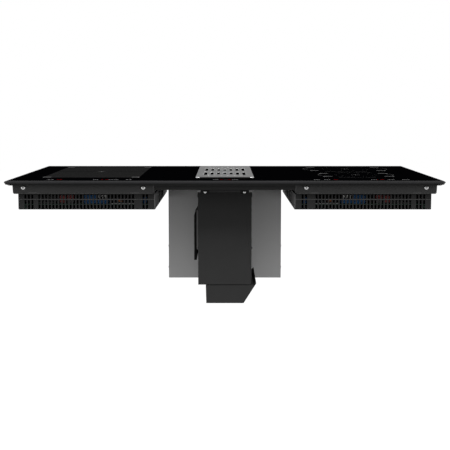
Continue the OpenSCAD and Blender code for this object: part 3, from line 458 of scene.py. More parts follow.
def link_object(name, bm):
    """Makes an object of a bmesh and uses the bmesh up."""
    mesh = bpy.data.meshes.new(name)
    bm.to_mesh(mesh)
    bm.free()
    made = bpy.data.objects.new(name, mesh)
    SCENE.collection.objects.link(made)
    return made


def add_piece(name, bm, look, stands_for=None, second=None):
    """Makes a bmesh a piece, with even normals over its flat faces. It rides where the node that it
    stands for rides, or on the housing. second is the look of the faces whose material index is 1."""
    for face in bm.faces:
        face.smooth = True
    for edge in bm.edges:
        edge.smooth = edge.calc_face_angle(math.pi) < SHARP_ANGLE
    piece = link_object(name, bm)
    piece.data.materials.append(LOOKS[look])
    if second:
        piece.data.materials.append(LOOKS[second])
    even = piece.modifiers.new("even_normals", "WEIGHTED_NORMAL")
    even.keep_sharp = True
    even.weight = FACE_WEIGHT
    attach(piece, NODES[stands_for]["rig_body"] if stands_for else "housing")
    if stands_for:
        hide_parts(stands_for)


def node_bmesh(node, convex=False):
    """The CAD node's mesh with its flat faces joined, or with convex ones for a bevel."""
    bm = bmesh.new()
    bm.from_mesh(NODES[node].data)
    bmesh.ops.remove_doubles(bm, verts=bm.verts, dist=SAME_POINT)
    bmesh.ops.dissolve_limit(bm, angle_limit=FLAT_ANGLE, use_dissolve_boundaries=False,
                             verts=bm.verts, edges=bm.edges, delimit={"NORMAL"})
    if convex:
        bmesh.ops.connect_verts_concave(bm, faces=bm.faces)
    bmesh.ops.recalc_face_normals(bm, faces=bm.faces)
    return bm


def bevel(bm, edges, width, segments, clamp, material=-1):
    bmesh.ops.bevel(bm, geom=edges, offset=width, offset_type="OFFSET", segments=segments, profile=0.5,
                    affect="EDGES", clamp_overlap=clamp, material=material)


def soften(bm, width, segments=2, weigh=None, material=-1):
    """Rounds the sharp edges by a width in millimetres. weigh gives an edge's share of it, where False
    leaves the edge. material is the material index of the new faces, or -1 for their neighbours'."""
    groups = {}
    for edge in bm.edges:
        if edge.is_manifold and edge.calc_face_angle(0) > ROUNDED_ANGLE:
            share = float(weigh(edge)) if weigh else 1.0
            if share > 0:
                groups.setdefault(share, []).append(edge)
    for share in sorted(groups, reverse=True):
        edges = [e for e in groups[share] if e.is_valid]
        bevel(bm, edges, width * MM * share, segments, False, material)


def block(bm, low, high, edge=0.0, segments=2):
    """Adds a block with rounded edges, in millimetres."""
    made = bmesh.ops.create_cube(bm, size=1.0)["verts"]
    size = [(h - l) * MM for l, h in zip(low, high)]
    mid = [(h + l) / 2 * MM for l, h in zip(low, high)]
    bmesh.ops.scale(bm, vec=size, verts=made)
    bmesh.ops.translate(bm, vec=mid, verts=made)
    if edge > 0:
        bevel(bm, list({e for v in made for e in v.link_edges}), edge * MM, segments, True)


def add_block(name, low, high, edge, segments, look):
    """A piece of one block."""
    bm = bmesh.new()
    block(bm, low, high, edge, segments)
    add_piece(name, bm, look)


def join_rings(bm, low, high):
    """Faces from one ring of corners to the next. A ring may be a single corner."""
    steps = max(len(low), len(high))
    for i in range(steps):
        j = (i + 1) % steps
        if len(low) == 1:
            bm.faces.new((low[0], high[j], high[i]))
        elif len(high) == 1:
            bm.faces.new((low[i], low[j], high[0]))
        else:
            bm.faces.new((low[i], low[j], high[j], high[i]))


def lathe(bm, profile, place=(0, 0, 0), axis=(0, 0, 1), steps=36):
    """Turns a profile of (radius, height) in millimetres about an axis. Zero radii close it."""
    turn = Vector((0, 0, 1)).rotation_difference(Vector(axis)).to_matrix().to_4x4()
    moved = Matrix.Translation(Vector(place) * MM) @ turn
    rings = []
    for r, z in profile:
        angles = [2 * math.pi * i / steps for i in range(steps)] if r > 0 else [0]
        rings.append([
            bm.verts.new(moved @ Vector((r * MM * math.cos(a), r * MM * math.sin(a), z * MM)))
            for a in angles
        ])
    for low, high in zip(rings, rings[1:]):
        join_rings(bm, low, high)


def tube(bm, points, radius, sides):
    """Sweeps a round wire along points, in millimetres."""
    pts = [Vector(p) * MM for p in points]
    side = None
    rings = []
    for before, p, after in zip([pts[0]] + pts, pts, pts[1:] + [pts[-1]]):
        along = (after - before).normalized()
        if side is None:
            side = along.orthogonal().normalized()
        side = (side - along * side.dot(along)).normalized()
        up = along.cross(side)
        rings.append([
            bm.verts.new(p + (side * math.cos(a) + up * math.sin(a)) * radius * MM)
            for a in (2 * math.pi * k / sides for k in range(sides))
        ])
    for low, high in zip(rings, rings[1:]):
        join_rings(bm, low, high)
    bm.faces.new(list(reversed(rings[0])))
    bm.faces.new(rings[-1])


def smooth_path(points, steps=6):
    """Points on a soft curve through the given ones."""
    pts = [Vector(p) for p in points]
    full = [pts[0] * 2 - pts[1]] + pts + [pts[-1] * 2 - pts[-2]]
    made = []
    for a, b, c, d in zip(full, full[1:], full[2:], full[3:]):
        for i in range(steps):
            t = i / steps
            made.append(0.5 * ((2 * b) + (c - a) * t + (2 * a - 5 * b + 4 * c - d) * t * t
                               + (3 * b - a - 3 * c + d) * t ** 3))
    made.append(pts[-1])
    return made


# Screws

# Head radius and height, shank radius and length
MODULE_SCREW = (4.7, 2.6, 2.0, 7.5)
HOUSING_SCREW = (3.4, 2.0, 1.0, 1.2)
FAN_BOX_SCREW = (3.25, 1.5, 1.2, 1.0)
# Shares of the head's radius and height, from its rim to its crown
HEAD_DOME = ((0.95, 0.0), (1.0, 0.08), (0.97, 0.28), (0.87, 0.52), (0.7, 0.74), (0.5, 0.88), (0.25, 0.97),
             (0.0, 1.0))
# The cross's arms as shares of the head's radius, and its height and middle as shares of the head's height
RECESS_ARM = 0.62
RECESS_HALF = 0.22
RECESS_TALL = 1.3
RECESS_MIDDLE = 0.95
RECESS_TAPER = (0.25, 0.12)
RECESS_REACH = 1.05
STEEPEST_CROWN = 0.85
# Places, from the ends of a tray, the front and underside of the cover and the ends of the fan box
MODULE_SCREW_IN = 22.7
MODULE_SCREW_OUT = 22.3
MODULE_SCREW_Z = -5.0
HOUSING_SCREW_X = 41.6
HOUSING_SCREW_Z = -18.7
SIDE_SCREW_BACK = 14.0
SIDE_SCREW_RISE = 76.7
FAN_SCREW_IN = 12.0
FAN_SCREW_RISES = (24.0, 74.2)
FAN_SCREW_TURN = 10


def cross_cutter(radius, height):
    """A tapered cross that sinks into the crown of a screw head."""
    bm = bmesh.new()
    size = Vector((radius * RECESS_ARM * 2, radius * RECESS_HALF * 2, height * RECESS_TALL)) * MM
    for turn in (0, 90):
        verts = bmesh.ops.create_cube(bm, size=1.0)["verts"]
        bmesh.ops.scale(bm, vec=size, verts=verts)
        for v in verts:
            if v.co.z < 0:
                v.co.x *= RECESS_TAPER[0]
                v.co.y *= RECESS_TAPER[1]
        bmesh.ops.translate(bm, vec=(0, 0, height * RECESS_MIDDLE * MM), verts=verts)
        spin = Matrix.Rotation(math.radians(turn), 3, "Z")
        bmesh.ops.rotate(bm, cent=(0, 0, 0), matrix=spin, verts=verts)
    return link_object("cross", bm)


def cross_screw(radius, height, shank_r, shank_len):
    """Mesh of a domed screw head on z = 0 with a cross recess, its shank along -Z. The recess takes the
    second look, which paints shade into it where that look is the dark steel.
    """
    bm = bmesh.new()
    dome = [(radius * r, height * h) for r, h in HEAD_DOME]
    lathe(bm, [(0, -shank_len), (shank_r, -shank_len), (shank_r, 0), *dome])
    head = link_object("head", bm)
    cross = cross_cutter(radius, height)
    recess = head.modifiers.new("recess", "BOOLEAN")
    recess.operation = "DIFFERENCE"
    recess.use_self = True
    recess.object = cross
    graph = bpy.context.evaluated_depsgraph_get()
    made = bpy.data.meshes.new_from_object(head.evaluated_get(graph))
    bpy.data.objects.remove(head)
    bpy.data.objects.remove(cross)
    reach = radius * RECESS_ARM * RECESS_REACH * MM
    # Recess faces take material 1: painted shade where the second look is dark.
    for face in made.polygons:
        in_recess = math.hypot(face.center.x, face.center.y) < reach and face.center.z > 0
        face.material_index = 1 if in_recess and face.normal.z < STEEPEST_CROWN else 0
    return made


def put_screws(name, mesh, places, node, look="bright_steel"):
    """Screws at places, each a point in millimetres, the way its head faces, and its turn in degrees."""
    bm = bmesh.new()
    for place, way, turn in places:
        start = len(bm.verts)
        bm.from_mesh(mesh)
        bm.verts.ensure_lookup_table()
        moved = (Matrix.Translation(Vector(place) * MM)
                 @ Vector((0, 0, 1)).rotation_difference(Vector(way)).to_matrix().to_4x4()
                 @ Matrix.Rotation(math.radians(turn), 4, "Z"))
        bmesh.ops.transform(bm, matrix=moved, verts=bm.verts[start:])
    add_piece(name, bm, look, node, "dark_steel_and_recess_shade")


def make_module_screws():
    """Two screws at the front of each module tray."""
    low, high = box_mm("right_module_tray")
    columns = ((low.x + MODULE_SCREW_IN, 0), (high.x - MODULE_SCREW_OUT, 4))
    places = [((sign * x, low.y, MODULE_SCREW_Z), (0, -1, 0), turn)
              for _, sign in SIDES for x, turn in columns]
    put_screws("module_screw_set", cross_screw(*MODULE_SCREW), places, "module_screws")


def make_housing_screws():
    """Two screws at the front of the cover, and a darker one on each side."""
    low, high = box_mm("housing_cover")
    mesh = cross_screw(*HOUSING_SCREW)
    places = [((sign * HOUSING_SCREW_X, low.y, HOUSING_SCREW_Z), (0, -1, 0), 45) for _, sign in SIDES]
    put_screws("housing_front_screws", mesh, places, "housing_screws")
    y, z = low.y + SIDE_SCREW_BACK, low.z + SIDE_SCREW_RISE
    places = [((sign * high.x, y, z), (sign, 0, 0), 30) for _, sign in SIDES]
    put_screws("housing_side_screws", mesh, places, "housing_screws", "dark_steel_and_recess_shade")


def make_fan_box_screws():
    """Four screws on each side wall of the fan box."""
    low, high = box_mm("fan_box")
    spots = [(y, low.z + rise)
             for y in (low.y + FAN_SCREW_IN, high.y - FAN_SCREW_IN) for rise in FAN_SCREW_RISES]
    places = [((sign * high.x, y, z), (sign, 0, 0), FAN_SCREW_TURN * i)
              for _, sign in SIDES for i, (y, z) in enumerate(spots)]
    put_screws("fan_box_screw_set", cross_screw(*FAN_BOX_SCREW), places, "fan_box_screws", "tab_steel")


# Print on the glass

PRINT_T = 0.06
ARC_STEP = 3
# A bar is from and to in x, and from and to in y, outwards from a place.
# Flexible zone: its left, right, front and rear, and where its middle lines lie
FLEX_ZONE = (-388.0, -183.0, -160.0, 212.0)
FLEX_MIDDLE_Y = 34.0
FLEX_GAP = 12.0
FLEX_LINES = ((-2.2, -0.8), (0.8, 2.2))
FLEX_CORNER = ((0, 16, 8, 16), (0, 2, 0, 16))
FLEX_PLUS = ((-7, 7, -1.2, 1.2), (-1.2, 1.2, -7, 7))
# Round zones: middle in x and y, and radius. A mark lies at shares of the radius from the middle.
ROUND_ZONES = ((289.0, -76.0, 82.5), (289.0, 132.0, 100.0))
ROUND_PLUS = ((-9, -3, -0.8, 0.8), (3, 9, -0.8, 0.8), (-0.8, 0.8, -9, -3), (-0.8, 0.8, 3, 9))
ROUND_MARK = ((0, 16, -3, 3), (16, 20, -12, -2))
MARK_X = 0.685
MARK_Y = 0.57
# Arcs in each quarter of a round zone: share of the radius, width, and start and end in degrees
ROUND_ARCS = (
    (1.0, 1.2, 57, 83), (1.0, 1.2, 7, 24), (1.0, 1.6, 84.6, 85.8), (1.0, 1.6, 87.0, 88.2),
    (1.0, 1.6, 89.4, 90.6), (1.0, 1.6, 91.8, 93.0), (1.0, 1.6, 94.2, 95.4),
    (0.55, 1.6, 13.5, 16.5), (0.55, 1.6, 43.5, 46.5), (0.55, 1.6, 73.5, 76.5),
)
# Touch row: where each group starts and ends in the photograph, and how many marks it has
ROW_Y = -224.0
TOUCH_KEYS = (
    (-366.5, -352, 2), (-273, -261, 3), (-240, -219, 6), (-204, -191, 2), (-24.5, -11.6, 3), (14.9, 28.5, 3),
    (185, 197.5, 4), (206, 220, 3), (303, 315.5, 4), (337, 352.5, 5), (367.5, 384, 4),
)
TOUCH_DIGITS = ((-348, -335.5, 2), (-248, -240, 2), (-9.4, -2.6, 1), (6.6, 13.4, 1), (226, 234.5, 2))
NARROW_DISPLAYS = ((-255.5, -252, 1), (315.5, 318, 1), (322.5, 330, 2))
TOUCH_SCALE = ((-2.4, 6.6, 6),)
# Bars of one mark: from and to as shares of its room in x, and from and to in y over the row
KEY_BARS = ((0, 0.62, 0.4, 4.8), (0.2, 0.42, -1.6, -0.4))
LOW_KEY_BARS = ((0, 0.62, 1.6, 4.8), (0.2, 0.42, -1.6, -0.4))
DIGIT_BARS = (
    (0.117, 0.663, 6.54, 7.5), (0.6396, 0.78, 3.66, 6.54), (0.6396, 0.78, 0.46, 3.34),
    (0.117, 0.663, -0.5, 0.46), (0, 0.1404, 0.46, 3.34), (0, 0.1404, 3.66, 6.54), (0.117, 0.663, 3.02, 3.98),
)
NARROW_BARS = ((0, 0.7, 0, 7),)
SCALE_BARS = ((0, 0.6, 1.5, 4.5),)


def put_bars(bm, bars, x, y, base, way_x=1, way_y=1, wide=1.0, lift=0.0):
    """Printed bars from a place outwards, widened in x, each one lifted over the last."""
    for k, (x0, x1, y0, y1) in enumerate(bars):
        left, right = sorted((x + way_x * wide * x0, x + way_x * wide * x1))
        front, rear = sorted((y + way_y * y0, y + way_y * y1))
        low = base + k * lift
        block(bm, (left, front, low), (right, rear, low + PRINT_T))


def flat_arc(bm, x, y, radius, wide, start, end, base):
    """Printed arc from start to end degrees."""
    steps = max(2, int((end - start) / ARC_STEP))
    inner, outer = radius - wide / 2, radius + wide / 2
    rings = []
    for i in range(steps + 1):
        a = math.radians(start + (end - start) * i / steps)
        rings.append([
            bm.verts.new(Vector((x + r * math.cos(a), y + r * math.sin(a), base + z)) * MM)
            for r, z in ((inner, 0), (outer, 0), (outer, PRINT_T), (inner, PRINT_T))
        ])
    for low, high in zip(rings, rings[1:]):
        join_rings(bm, high, low)
    bm.faces.new(rings[0])
    bm.faces.new(list(reversed(rings[-1])))


def print_flex_zone(marks, top):
    """The flexible zone: its hatched field, middle lines, corner marks and plus."""
    left, right, front, rear = FLEX_ZONE
    mid_x = (left + right) / 2
    add_block("flex_zone_field", (left, front, top), (right, rear, top + PRINT_T), 0, 1, "zone_hatch")
    on_field = top + PRINT_T
    lines = bmesh.new()
    bars = [(FLEX_GAP, (right - left) / 2, *line) for line in FLEX_LINES]
    for way in (-1, 1):
        put_bars(lines, bars, mid_x, FLEX_MIDDLE_Y, on_field, way)
    add_piece("flex_zone_gap", lines, "dark_print")
    for x, inward in ((left, 1), (right, -1)):
        for y, up in ((front, 1), (rear, -1)):
            put_bars(marks, FLEX_CORNER, x, y, on_field, inward, up, lift=PRINT_T)
    put_bars(marks, FLEX_PLUS, mid_x, FLEX_MIDDLE_Y, on_field, lift=PRINT_T)


def print_round_zone(marks, rings, x, y, radius, top):
    """A round zone: a mark and arcs in each quarter, and a broken plus."""
    for quarter, (way_x, way_y) in enumerate(((1, 1), (-1, 1), (-1, -1), (1, -1))):
        mark_x, mark_y = x + way_x * radius * MARK_X, y + way_y * radius * MARK_Y
        put_bars(marks, ROUND_MARK, mark_x, mark_y, top, way_x)
        turn = 90 * quarter
        for share, wide, start, end in ROUND_ARCS:
            flat_arc(rings, x, y, radius * share, wide, turn + start, turn + end, top)
    put_bars(marks, ROUND_PLUS, x, y, top)


def print_touch_row(name, look, top, *sets):
    """Marks of the touch row as one piece. A set is its groups and the forms that its marks take in turn."""
    bm = bmesh.new()
    for groups, forms in sets:
        for start, end, count in groups:
            room = (end - start) / count
            for k in range(count):
                put_bars(bm, forms[k % len(forms)], start + room * k, ROW_Y, top, wide=room)
    add_piece(name, bm, look)


def make_print():
    """All the print, with the marks of all the zones in one piece."""
    top = box_mm("glass_top")[1].z
    marks = bmesh.new()
    rings = bmesh.new()
    print_flex_zone(marks, top)
    for x, y, radius in ROUND_ZONES:
        print_round_zone(marks, rings, x, y, radius, top)
    print_touch_row("touch_keys", "key_print", top, (TOUCH_KEYS, (KEY_BARS, LOW_KEY_BARS)))
    print_touch_row("touch_displays", "red_display", top, (TOUCH_DIGITS, (DIGIT_BARS,)),
                    (NARROW_DISPLAYS, (NARROW_BARS,)))
    print_touch_row("touch_scale", "dim_print", top, (TOUCH_SCALE, (SCALE_BARS,)))
    add_piece("zone_marks", marks, "grey_print")
    add_piece("zone_rings", rings, "dim_print")


# Plain shells

SHELLS = (
    # node, edge width in mm, segments, look
    ("glass_top", 0.3, 2, "black_glass"),
    ("worktop_seal", 0.15, 1, "seal_rubber"),
    ("centre_carrier", 0.4, 2, "carrier_metal"),
    ("intake_well", 0.2, 2, "black_sheet"),
    ("filter_housing", 0.4, 2, "black_sheet"),
    ("control_box", 0.5, 2, "well_sheet"),
    ("control_box_base", 0.25, 2, "base_strip"),
    ("tray_runners", 0.3, 2, "base_strip"),
    ("fan_box", 0.5, 2, "galvanised"),
    ("fan_box_front", 0.3, 2, "galvanised"),
    ("duct_gasket", 0.3, 2, "seal_rubber"),
    ("inlet_ring", 0.4, 2, "black_plastic"),
    ("impeller", 0.4, 2, "black_plastic"),
    ("motor", 1.2, 3, "motor_metal"),
    ("motor_bracket", 0.4, 2, "galvanised"),
    ("outlet_spigot", 0.4, 2, "black_plastic"),
    ("cable_gland", 0.8, 2, "black_plastic"),
    ("grille_feet", 0.12, 2, "seal_rubber"),
    ("filter_frame", 0.3, 2, "heatsink_aluminium"),
    ("filter_handle", 1.2, 3, "black_plastic"),
)
SIDE_SHELLS = (
    # The same, for nodes that come as a left and a right one
    ("fan_frame", 0.8, 2, "black_plastic"),
    ("fan_rotor", 0.3, 2, "black_plastic"),
    ("heatsink", 0.3, 1, "dark_fins"),
    ("power_board", 0.2, 1, "circuit_board"),
    ("coil_plate", 0.3, 1, "aluminium_sheet"),
)
KEPT = {
    # Looks of the CAD nodes that stay, by what their names end with
    "ferrites": "ferrite", "windings": "copper_winding", "mica_sheet": "mica",
    "zone_sensors": "sensor_metal", "touch_board": "circuit_board",
}


def make_shells():
    """Copies of the nodes that need only rounded edges."""
    pairs = [(side + "_" + kind, *rest) for kind, *rest in SIDE_SHELLS for side, _ in SIDES]
    for node, width, segments, look in (*SHELLS, *pairs):
        bm = node_bmesh(node)
        soften(bm, width, segments)
        add_piece(node + "_shell", bm, look, node)


def dress_kept_nodes():
    for name, node in NODES.items():
        for ending, look in KEPT.items():
            if name.endswith(ending):
                node.data.materials.clear()
                node.data.materials.append(LOOKS[look])


# Side trims

NOSE_ROUND = 1.2
NOSE_REACH = 0.3
LIP_ROUND = 1.8
LIP_REACH = 2.2


def make_trim(node):
    low, high = box_mm(node)
    tip = max(-low.x, high.x)

    def at_nose(edge):
        return min(abs(end.x) for end in edge_ends(edge)) > tip - NOSE_REACH

    def on_lip(edge):
        return max(abs(end.x) for end in edge_ends(edge)) < tip - LIP_REACH

    bm = node_bmesh(node, convex=True)
    # The nose's bevel takes the second look: a painted highlight.
    soften(bm, NOSE_ROUND, 4, at_nose, material=1)
    soften(bm, LIP_ROUND, 4, on_lip)
    add_piece(node + "_shell", bm, "dark_trim", node, "trim_nose_highlight")


def make_trims():
    """Side trims with a full round nose that carries a painted highlight, and a round lip underneath."""
    for side, _ in SIDES:
        make_trim(side + "_side_trim")


# Pans

PANS = (
    # kind, radius of its lower corners, edge width, look, look with painted light, whether all its edges
    # take the painted highlight
    ("module_tray", 2.6, 0.45, "tray_metal", "tray_edge", True),
    ("vent_box", 1.8, 0.22, "vent_metal", "pan_side", False),
)
INNER_CORNER = 1.0
# How close an edge or a face is to a side, the floor or the inner wall to belong to it
SIDE_NEAR = 2.8
FLOOR_NEAR = 0.3
INNER_NEAR = 0.2
INNER_SHORTEST = 5.0
# What the other edges leave to a round lower corner, beyond its radius
CORNER_CLEAR_X = 3.5
CORNER_CLEAR_Z = 1.0


def make_pan(node, corner, width, look, painted_light_look, painted_highlight_edges):
    low, high = box_mm(node)
    inner = min(abs(low.x), abs(high.x))

    def side_gap(point):
        return min(point.x - low.x, high.x - point.x)

    def at_inner_wall(point):
        return abs(abs(point.x) - inner) < INNER_NEAR

    def lower_corner(edge):
        a, b = edge_ends(edge)
        mid = (a + b) / 2
        runs_back = abs(a.y - b.y) > abs(a.x - b.x)
        return side_gap(mid) < SIDE_NEAR and mid.z - low.z < FLOOR_NEAR and runs_back

    def inner_corner(edge):
        a, b = edge_ends(edge)
        upright = a.y - low.y < INNER_NEAR and abs(a.z - b.z) > INNER_SHORTEST
        return at_inner_wall(a) and at_inner_wall(b) and upright

    def elsewhere(edge):
        mid = edge_middle(edge)
        return side_gap(mid) >= corner + CORNER_CLEAR_X or mid.z - low.z >= corner + CORNER_CLEAR_Z

    bm = node_bmesh(node, convex=True)
    soften(bm, corner, 4, lower_corner)
    # Inner corners, and on trays every other bent edge, take the second look: a painted highlight.
    soften(bm, INNER_CORNER, 4, inner_corner, material=1)
    soften(bm, width, 2, elsewhere, material=1 if painted_highlight_edges else -1)
    # On vent boxes the inner wall takes the second look: painted light on a wall that the housing shades.
    if not painted_highlight_edges:
        for face in bm.faces:
            if abs(face.normal.x) > 0.9 and at_inner_wall(face.calc_center_median() / MM):
                face.material_index = 1
    add_piece(node + "_shell", bm, look, node, painted_light_look)


def make_pans():
    """The folded pans, with painted highlights on bent edges and painted light on inner walls."""
    for kind, *rest in PANS:
        for side, _ in SIDES:
            make_pan(side + "_" + kind, *rest)


# Seam between the cover and the tray under it

SEAM_SHELLS = (("housing_cover", 0.35), ("drip_tray", 0.3))
SEAM_EDGE = 0.5
SEAM_NEAR = 1.5
SEAM_SHORTEST = 20.0


def make_seam():
    """The housing's cover and the tray under it, with painted shade on the wide bent edges of their seam."""
    cover = box_mm("housing_cover")[0]

    def at_seam(edge):
        a, b = edge_ends(edge)
        level = max(abs(a.z - cover.z), abs(b.z - cover.z)) < SEAM_NEAR
        return level and abs(a.x - b.x) > SEAM_SHORTEST and a.y - cover.y < SEAM_NEAR

    def elsewhere(edge):
        return not at_seam(edge)

    for node, width in SEAM_SHELLS:
        bm = node_bmesh(node)
        # The seam's bevels take the darker well_sheet: painted shade in the gap.
        soften(bm, SEAM_EDGE, 3, at_seam, material=1)
        soften(bm, width, 2, elsewhere)
        add_piece(node + "_shell", bm, "black_sheet", node, "well_sheet")


# Pressed details of the pans

LENS_PLACES = (395.0, 185.0)
LENS_DOME = ((0, 0), (10, 0), (9, 0.5), (6, 0.85), (0, 1.0))
LENS_SHARES = (1, 0.8, 0.17)
LENS_OUT = 0.1
LENS_Z = 2.2
# Strips along a pan's front, from its low corner: inset at both ends, from and to in y, from and to in z
HEM = (3.0, -0.35, 0.4, 0.3, 1.3)
BEAD = (1.5, -0.3, 0.3, 20.3, 21.3)
FILM_IN = 2.0
FILM_FRONT = 1.5
FILM_Z = (1.3, 1.7)
PLUG_PROFILE = ((0, -2.5), (9.9, -2.5), (9.9, 0), (12.6, 0), (12.6, 1.2), (11.8, 2), (0, 2.3))


def add_front_strip(name, low, high, strip):
    inset, y0, y1, z0, z1 = strip
    # The strip takes the lighter tray look: a painted highlight.
    add_block(name, (low.x + inset, low.y + y0, low.z + z0), (high.x - inset, low.y + y1, low.z + z1),
              0.3, 2, "tray_edge")


def add_tray_lenses(side, sign, low):
    """Two shallow pressed lenses in a tray's front, in the lighter tray look as a painted highlight."""
    lenses = bmesh.new()
    for x in LENS_PLACES:
        start = len(lenses.verts)
        lathe(lenses, LENS_DOME, axis=(0, -1, 0), steps=28)
        lenses.verts.ensure_lookup_table()
        verts = lenses.verts[start:]
        place = Vector((sign * x, low.y + LENS_OUT, low.z + LENS_Z)) * MM
        bmesh.ops.scale(lenses, vec=LENS_SHARES, verts=verts)
        bmesh.ops.translate(lenses, vec=place, verts=verts)
    add_piece(side + "_tray_lenses", lenses, "tray_edge")


def make_pan_details():
    """Hem and lenses of each tray, and bead and floor film of each vent box."""
    for side, sign in SIDES:
        low, high = box_mm(side + "_module_tray")
        add_front_strip(side + "_tray_hem", low, high, HEM)
        add_tray_lenses(side, sign, low)
        low, high = box_mm(side + "_vent_box")
        add_front_strip(side + "_vent_bead", low, high, BEAD)
        add_block(side + "_floor_film", (low.x + FILM_IN, low.y + FILM_FRONT, low.z + FILM_Z[0]),
                  (high.x - FILM_IN, high.y - FILM_IN, low.z + FILM_Z[1]), 0, 1, "black_film")


def make_rear_plug():
    """A plug in the left pan's rear hole, the mirror of the cable gland's."""
    gland_low, gland_high = box_mm("cable_gland")
    mid = (gland_low + gland_high) / 2
    rear = box_mm("left_vent_box")[1].y
    plug = bmesh.new()
    lathe(plug, PLUG_PROFILE, (-mid.x, rear, mid.z), (0, 1, 0))
    add_piece("rear_hole_plug", plug, "black_plastic")


# Grille

RIM_REACH = 5.0
RIM_ROUND = 2.2
RIM_UNDERSIDE = 0.12
SLOT_ROUND = 0.45
TOP_NEAR = 0.05
# How far the painted highlight on the front corners reaches
HIGHLIGHT_CORNER_REACH = 9.0


def make_grille():
    """The grille with a round rim and softly pressed slot edges, with painted highlights on the slot edges
    and the front corners.
    """
    low, high = box_mm("grille")

    def at_rim(mid):
        return min(mid.x - low.x, high.x - mid.x, mid.y - low.y, high.y - mid.y) < RIM_REACH

    def on_top(mid):
        return abs(mid.z - high.z) < TOP_NEAR

    def slot_edge(edge):
        mid = edge_middle(edge)
        return on_top(mid) and not at_rim(mid)

    def rim_edge(edge):
        mid = edge_middle(edge)
        return at_rim(mid) * (1.0 if on_top(mid) else RIM_UNDERSIDE)

    bm = node_bmesh("grille")
    # Slot edges take the second look: a painted highlight.
    soften(bm, SLOT_ROUND, 3, slot_edge, material=1)
    soften(bm, RIM_ROUND, 4, rim_edge)
    # Rounded faces at the front corners take it too: a painted highlight.
    for face in bm.faces:
        mid = face.calc_center_median() / MM
        in_highlight_corner = mid.y < low.y + HIGHLIGHT_CORNER_REACH and abs(mid.x) > high.x - HIGHLIGHT_CORNER_REACH
        if in_highlight_corner and 0.25 < face.normal.z < 0.97:
            face.material_index = 1
    add_piece("grille_plate", bm, "stainless", "grille", "grille_highlight_steel")


# Hanger plates

TAB_W = 8.0
TAB_H = 4.0
LIP_HALF = 32.5
DIMPLE = ((0, 0), (1.6, 0), (1.5, 0.3), (0.9, 0.55), (0, 0.62))


def make_hanger_plates():
    """Light tabs beside the housing's screws, and the dimpled lip between them."""
    low, high = box_mm("hanger_plates")
    tabs = bmesh.new()
    for _, sign in SIDES:
        left, right = mirrored(sign, high.x - TAB_W, high.x)
        block(tabs, (left, low.y, low.z), (right, high.y, low.z + TAB_H), 0.45, 3)
    add_piece("hanger_tabs", tabs, "tab_steel", "hanger_plates")
    lip = bmesh.new()
    block(lip, (-LIP_HALF, low.y, low.z), (LIP_HALF, high.y, low.z + TAB_H), 0.4, 3)
    lathe(lip, DIMPLE, (0, low.y + 0.1, low.z + TAB_H / 2), (0, -1, 0), 16)
    add_piece("well_lip", lip, "tray_metal")


# Electronics seen through the slots

# The right vent box's inner wall and width. Shares are of that width, from that wall.
PAN_LOW, PAN_HIGH = box_mm("right_vent_box")
PAN_INNER = round(PAN_LOW.x, 1)
PAN_WIDE = round(PAN_HIGH.x - PAN_LOW.x, 1)
CAPACITORS = (
    # Start and width as shares, height
    (0.427, 0.096, 19), (0.345, 0.078, 10), (0.064, 0.025, 14),
)
CAPACITOR_DEEP = 15.0
LEAD_IN = 3.0
LEAD_Z = (-2.2, 1.0)
LEAD_R = 0.4
CHOKES = (0.269, 0.399)
CHOKE_CORE = ((0, 0), (7.3, 0), (7.3, 1), (5.6, 1.3), (5.6, 7.2), (7.3, 7.5), (7.3, 8.5), (3, 8.5), (3, 6),
              (0, 6))
COIL_R = 6.5
COIL_WIRE_R = 0.52
COIL_BASE = 1.8
COIL_TALL = 4.9
COIL_TURNS = 5
TURN_STEPS = 20
RELAYS = (
    # Start and width as shares, height of its base, height of its top
    (0.601, 0.05, 10, 18), (0.662, 0.043, 2, 17),
)
RELAY_DEEP = 16.0
RELAY_BASE_IN = 0.4
SMALL_PARTS = 46
SMALL_PARTS_SEED = 7
# Room kept free of them inside, outside, in front and behind
PARTS_CLEAR = (14.0, 12.0, 34.0, 12.0)
HEATSINK_SHARES = (0.7, 0.9)
PLUGS = (
    # Inner edge, height of its underside
    (244.5, 14.6), (251.3, 15.2), (258.5, 16.8),
)
PLUG_W = 3.6
PLUG_Y = (1.0, 7.0)
PLUG_TOP = 18.6
PIN_IN = 1.0
PIN_Y = (7.2, 8.6)
PIN_TOP = 18.0
SOCKET_X = (40.0, 50.0)
SOCKET_Y = (60.0, 70.0)
SOCKET_TALL = 8.0
RAIL_X = (184.0, 236.0)
RAIL_Y = (-0.4, 0.8)
RAIL_TALL = 2.2
FAN_PLUG_X = 300.0
WIRES = (
    # First wire's x, pitch, count, radius, whether they end at the cooling fan, and a wire's points: x
    # outwards, y from the board's front, z over its top, and what each next wire adds to y and z
    (352.0, 5.0, 3, 0.7, False,
     ((0, 6, 17.2, 2, 1), (3, 4, 12, 0, 0), (-4, 3.5, 6, 0, 0), (-9, 5, 1.2, 0, 0))),
    (251.0, 3.2, 4, 0.6, True,
     ((0, 27, 15, 0, 0), (0, 24, 18.8, 0, 0), (6, 60, 18, 0, 0.4), (20, 140, 14, 0, 0))),
)


def share_span(sign, start, share):
    """Both ends in x of what starts at a share of the pan and is a share wide."""
    return mirrored(sign, PAN_INNER + PAN_WIDE * start, PAN_INNER + PAN_WIDE * (start + share))


def add_capacitors(side, sign, top):
    """Blue film capacitors in the space of the plain ones."""
    front = box_mm(side + "_capacitors")[0].y
    caps = bmesh.new()
    for start, share, tall in CAPACITORS:
        left, right = share_span(sign, start, share)
        block(caps, (left, front, top), (right, front + CAPACITOR_DEEP, top + tall), 1.4, 3)
    add_piece(side + "_capacitor_set", caps, "blue_capacitor", side + "_capacitors")


